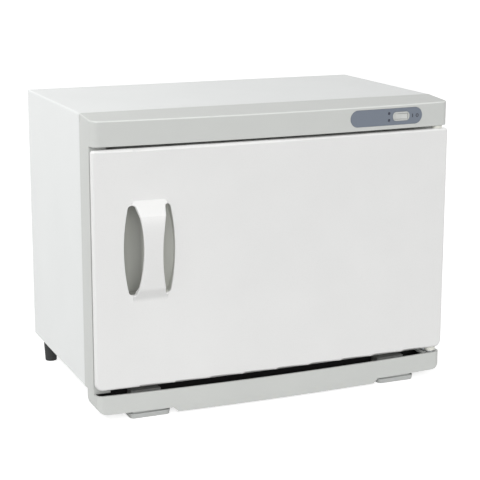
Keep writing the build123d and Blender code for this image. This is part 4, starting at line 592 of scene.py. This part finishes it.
class TOWELWARMER_OT_finish_door(bpy.types.Operator):
    """Finishes the door skin, the handle cup, the liner, the foam and the gasket."""

    bl_idname = "towelwarmer.finish_door"
    bl_label = "Finish Door"

    def execute(self, context):
        colours = context.scene.warmer_colours
        assign(moulded_plastic("door_gloss", colours.door), "door_skin")
        cup_low, cup_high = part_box("handle_cup")
        cup_middle = (cup_low[0] + cup_high[0]) / 2
        assign(scoop_with_painted_light("cup_moulding", colours.cup, cup_middle), "handle_cup")
        assign(moulded_plastic("liner_moulding", colours.liner), "door_liner")
        assign(fibre("rigid_foam", screen_colour(226, 219, 196), 700.0), "door_insulation")
        assign(rubber("gasket_rubber", colours.rubber), "door_gasket", "cord_grommet")
        return {"FINISHED"}


class TOWELWARMER_OT_finish_controls(bpy.types.Operator):
    """Finishes the control plate, the switch, the lenses and the board behind them."""

    bl_idname = "towelwarmer.finish_controls"
    bl_label = "Finish Controls"

    def execute(self, context):
        colours = context.scene.warmer_colours
        assign(moulded_plastic("plate_film", colours.plate), "control_plate")
        assign(moulded_plastic("switch_gloss", colours.switch), "switch_housing", "power_switch")
        assign(tinted_lens("lamp_lens", screen_colour(58, 62, 78)), "indicator_lenses")
        assign(moulded_plastic("circuit_board", screen_colour(34, 98, 62)), "indicator_board")
        return {"FINISHED"}


class TOWELWARMER_OT_finish_chamber(bpy.types.Operator):
    """Finishes the chamber, its rails, racks, tray, lamp and heater."""

    bl_idname = "towelwarmer.finish_chamber"
    bl_label = "Finish Chamber"

    def execute(self, context):
        sheet = brushed_metal("brushed_aluminium", screen_colour(208, 210, 212), 0.34, (0.04, 1.0, 1.0))
        assign(sheet, *nodes_in_slot("chamber_aluminium"))
        plating = bright_metal("rack_plating", screen_colour(214, 216, 218), 0.14)
        assign(plating, *nodes_in_slot("rack_wire"))
        assign(clear_glass("quartz_glass"), "lamp_tube")
        assign(moulded_plastic("tray_moulding", screen_colour(226, 229, 229)), "drip_tray")
        assign(fibre("wool_felt", screen_colour(205, 203, 196), 1200.0), "insulation_jacket")
        assign(rubber("heater_silicone", screen_colour(190, 92, 56)), "heater_mat")
        return {"FINISHED"}


class TOWELWARMER_OT_finish_hardware(bpy.types.Operator):
    """Finishes the hinges, the catch, the cut-off, the screws and the electrical pieces."""

    bl_idname = "towelwarmer.finish_hardware"
    bl_label = "Finish Hardware"

    def execute(self, context):
        zinc = bright_metal("zinc_plate", screen_colour(188, 190, 192), 0.28)
        assign(zinc, *nodes_in_slot("steel"))
        nylon = moulded_plastic("natural_nylon", screen_colour(226, 226, 218))
        assign(nylon, *nodes_in_slot("nylon"))
        white_moulding = moulded_plastic("electrical_white", screen_colour(222, 222, 214))
        assign(white_moulding, *nodes_in_slot("electric_white"))
        black_moulding = moulded_plastic("electrical_black", screen_colour(44, 44, 46))
        assign(black_moulding, *nodes_in_slot("electric_black"), *nodes_in_slot("magnet"))
        return {"FINISHED"}


# Pieces beside the switch


class TOWELWARMER_OT_add_switch_marks(bpy.types.Operator):
    """Prints the on and off marks, a bar and a ring, on the plate beside the switch."""

    bl_idname = "towelwarmer.add_switch_marks"
    bl_label = "Add Switch Marks"

    RING_SEGMENTS = 32
    STROKE_SEGMENTS = 10

    def plate_tangent(self, place_x):
        """The plate's surface at a place across it: how far forward it is, and how far it is turned."""
        low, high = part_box("control_plate")
        left, right = low[0], high[0]
        places = [vertex.co for vertex in nodes["control_plate"].data.vertices]
        left_front = min(place.y for place in places if place.x - left < MILLIMETRE)
        right_front = min(place.y for place in places if right - place.x < MILLIMETRE)
        curve = (right_front - left_front) / (right**2 - left**2)
        front = left_front + curve * (place_x**2 - left**2)
        return front, math.atan(2 * curve * place_x)

    def finish(self, piece, name, material):
        """Names a mark, applies its place to its mesh and fixes it to the cabinet."""
        piece.name = name
        bpy.ops.object.transform_apply(location=True, rotation=True, scale=True)
        piece.data.materials.append(material)
        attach(piece, BODY)

    def execute(self, context):
        details = context.scene.warmer_details
        ink = moulded_plastic("mark_ink", screen_colour(44, 48, 58))
        switch_low, switch_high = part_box("switch_housing")
        middle_z = (switch_low[2] + switch_high[2]) / 2
        bar_x = switch_high[0] + details.mark_gap
        ring_x = bar_x + details.mark_pitch
        bpy.ops.object.select_all(action="DESELECT")
        front, turn = self.plate_tangent(bar_x)
        bpy.ops.mesh.primitive_cube_add(
            size=1.0,
            location=(bar_x, front, middle_z),
            rotation=(0.0, 0.0, turn),
            scale=(details.mark_stroke, details.mark_depth, details.mark_height),
        )
        self.finish(context.object, "on_mark", ink)
        bpy.ops.object.select_all(action="DESELECT")
        front, turn = self.plate_tangent(ring_x)
        bpy.ops.mesh.primitive_torus_add(
            location=(ring_x, front, middle_z),
            rotation=(math.pi / 2, 0.0, turn),
            major_radius=(details.mark_height - details.mark_stroke) / 2,
            minor_radius=details.mark_stroke / 2,
            major_segments=self.RING_SEGMENTS,
            minor_segments=self.STROKE_SEGMENTS,
        )
        ring = context.object
        ring.scale = (1.0, 1.0, details.mark_depth / details.mark_stroke)
        self.finish(ring, "off_mark", ink)
        return {"FINISHED"}


# The stage


class TOWELWARMER_OT_build_stage(bpy.types.Operator):
    """Sets the floor, the even light, the two lamps and the camera."""

    bl_idname = "towelwarmer.build_stage"
    bl_label = "Build Stage"

    WHITE = (1.0, 1.0, 1.0, 1.0)
    FLOOR_SIZE = 60.0  # metres
    FLOOR_DRIFT = 1 / 60  # how far the floor's tone wanders from its middle
    SENSOR_WIDTH = 36.0  # millimetres
    FARTHEST_SEEN = 100.0  # metres

    def floor(self, tone, glow):
        """A pale floor that a camera sees as white, with the cabinet's shadow on it."""
        bpy.ops.object.select_all(action="DESELECT")
        bpy.ops.mesh.primitive_plane_add(size=self.FLOOR_SIZE, location=(0.0, 0.0, 0.0))
        floor = bpy.context.object
        floor.name = "studio_floor"
        material = bpy.data.materials.new("studio_floor")
        material.use_nodes = True
        tree = material.node_tree
        tree.nodes.clear()
        grain = noise(tree, 3.0, detail=2.0)
        grey = mottled(tree, grain, (tone, tone, tone), 1.0 - self.FLOOR_DRIFT, 1.0 + self.FLOOR_DRIFT)
        paper = add_node(tree, "BsdfDiffuse", {"Color": grey})
        seen_glow = add_node(tree, "Math", {0: seen_by_eye(tree), 1: glow}, operation="MULTIPLY")
        lift = add_node(tree, "Emission", {"Color": self.WHITE, "Strength": seen_glow.outputs[0]})
        both = add_node(tree, "AddShader", {0: paper.outputs[0], 1: lift.outputs[0]})
        output = add_node(tree, "OutputMaterial")
        tree.links.new(both.outputs[0], output.inputs["Surface"])
        floor.data.materials.append(material)

    def sky(self, level):
        """Even light from all round, which a camera sees as white."""
        world = bpy.data.worlds.new("studio_sky")
        bpy.context.scene.world = world
        world.use_nodes = True
        tree = world.node_tree
        strength = spread(tree, seen_by_eye(tree), level, 1.0, start=0.0, end=1.0)
        background = tree.nodes["Background"]
        background.inputs["Color"].default_value = self.WHITE
        tree.links.new(strength, background.inputs["Strength"])

    def hang(self, lamp, towards):
        """Puts a lamp in the scene, shining along a direction."""
        holder = bpy.data.objects.new(lamp.name, lamp)
        bpy.context.scene.collection.objects.link(holder)
        holder.rotation_euler = towards.to_track_quat("-Z", "Y").to_euler()
        return holder

    def key_light(self, settings):
        """A wide soft light from the front and the upper left."""
        lamp = bpy.data.lights.new("key_light", "SUN")
        lamp.energy = settings.key_level
        lamp.angle = settings.key_spread
        self.hang(lamp, Vector(settings.key_direction))

    def side_light(self, settings):
        """A soft lamp that fades down the case's side and along its top."""
        lamp = bpy.data.lights.new("side_light", "AREA")
        lamp.energy = settings.side_level
        lamp.size = settings.side_size
        place = Vector(settings.side_place)
        holder = self.hang(lamp, Vector(settings.side_aim) - place)
        holder.location = place

    def camera(self, settings):
        """A camera from the turn, rise, roll and place that the settings give."""
        turn, rise, roll = settings.camera_turn, settings.camera_rise, settings.camera_roll
        level = math.cos(rise)
        forward = Vector((-math.sin(turn) * level, math.cos(turn) * level, -math.sin(rise)))
        right = Vector((math.cos(turn), math.sin(turn), 0.0))
        up = right.cross(forward)
        rolled_right = math.cos(roll) * right + math.sin(roll) * up
        rolled_up = -math.sin(roll) * right + math.cos(roll) * up
        lens = bpy.data.cameras.new("photo_camera")
        lens.lens = settings.focal_length
        lens.sensor_width = self.SENSOR_WIDTH
        lens.shift_x, lens.shift_y = settings.camera_shift
        lens.clip_end = self.FARTHEST_SEEN
        camera = bpy.data.objects.new("photo_camera", lens)
        bpy.context.scene.collection.objects.link(camera)
        turned = Matrix((rolled_right, rolled_up, -forward)).transposed()
        camera.matrix_world = Matrix.Translation(settings.camera_place) @ turned.to_4x4()
        bpy.context.scene.camera = camera

    def execute(self, context):
        settings = context.scene.stage_settings
        self.floor(settings.floor_tone, settings.floor_glow)
        self.sky(settings.sky_level)
        self.key_light(settings)
        self.side_light(settings)
        self.camera(settings)
        context.scene.view_settings.view_transform = "Standard"
        return {"FINISHED"}


OPERATORS = (
    TOWELWARMER_OT_finish_case,
    TOWELWARMER_OT_finish_frame,
    TOWELWARMER_OT_finish_door,
    TOWELWARMER_OT_finish_controls,
    TOWELWARMER_OT_finish_chamber,
    TOWELWARMER_OT_finish_hardware,
    TOWELWARMER_OT_add_switch_marks,
    TOWELWARMER_OT_build_stage,
)


class TOWELWARMER_PT_sidebar(bpy.types.Panel):
    """Lists the cabinet's steps in the sidebar."""

    bl_idname = "TOWELWARMER_PT_sidebar"
    bl_label = "Towel Warmer"
    bl_space_type = "VIEW_3D"
    bl_region_type = "UI"
    bl_category = "Towel Warmer"

    def draw(self, context):
        for operator in OPERATORS:
            self.layout.operator(operator.bl_idname)


GROUPS = (
    ("warmer_colours", WarmerColours),
    ("warmer_details", WarmerDetails),
    ("stage_settings", StageSettings),
)


def register():
    for name, group in GROUPS:
        bpy.utils.register_class(group)
        setattr(bpy.types.Scene, name, bpy.props.PointerProperty(type=group))
    for operator in OPERATORS:
        bpy.utils.register_class(operator)
    bpy.utils.register_class(TOWELWARMER_PT_sidebar)


def unregister():
    bpy.utils.unregister_class(TOWELWARMER_PT_sidebar)
    for operator in reversed(OPERATORS):
        bpy.utils.unregister_class(operator)
    for name, group in reversed(GROUPS):
        delattr(bpy.types.Scene, name)
        bpy.utils.unregister_class(group)


def main():
    """Registers the classes and runs each step in order."""
    register()
    for operator in OPERATORS:
        group, step = operator.bl_idname.split(".")
        getattr(getattr(bpy.ops, group), step)()


if __name__ == "__main__":
    main()
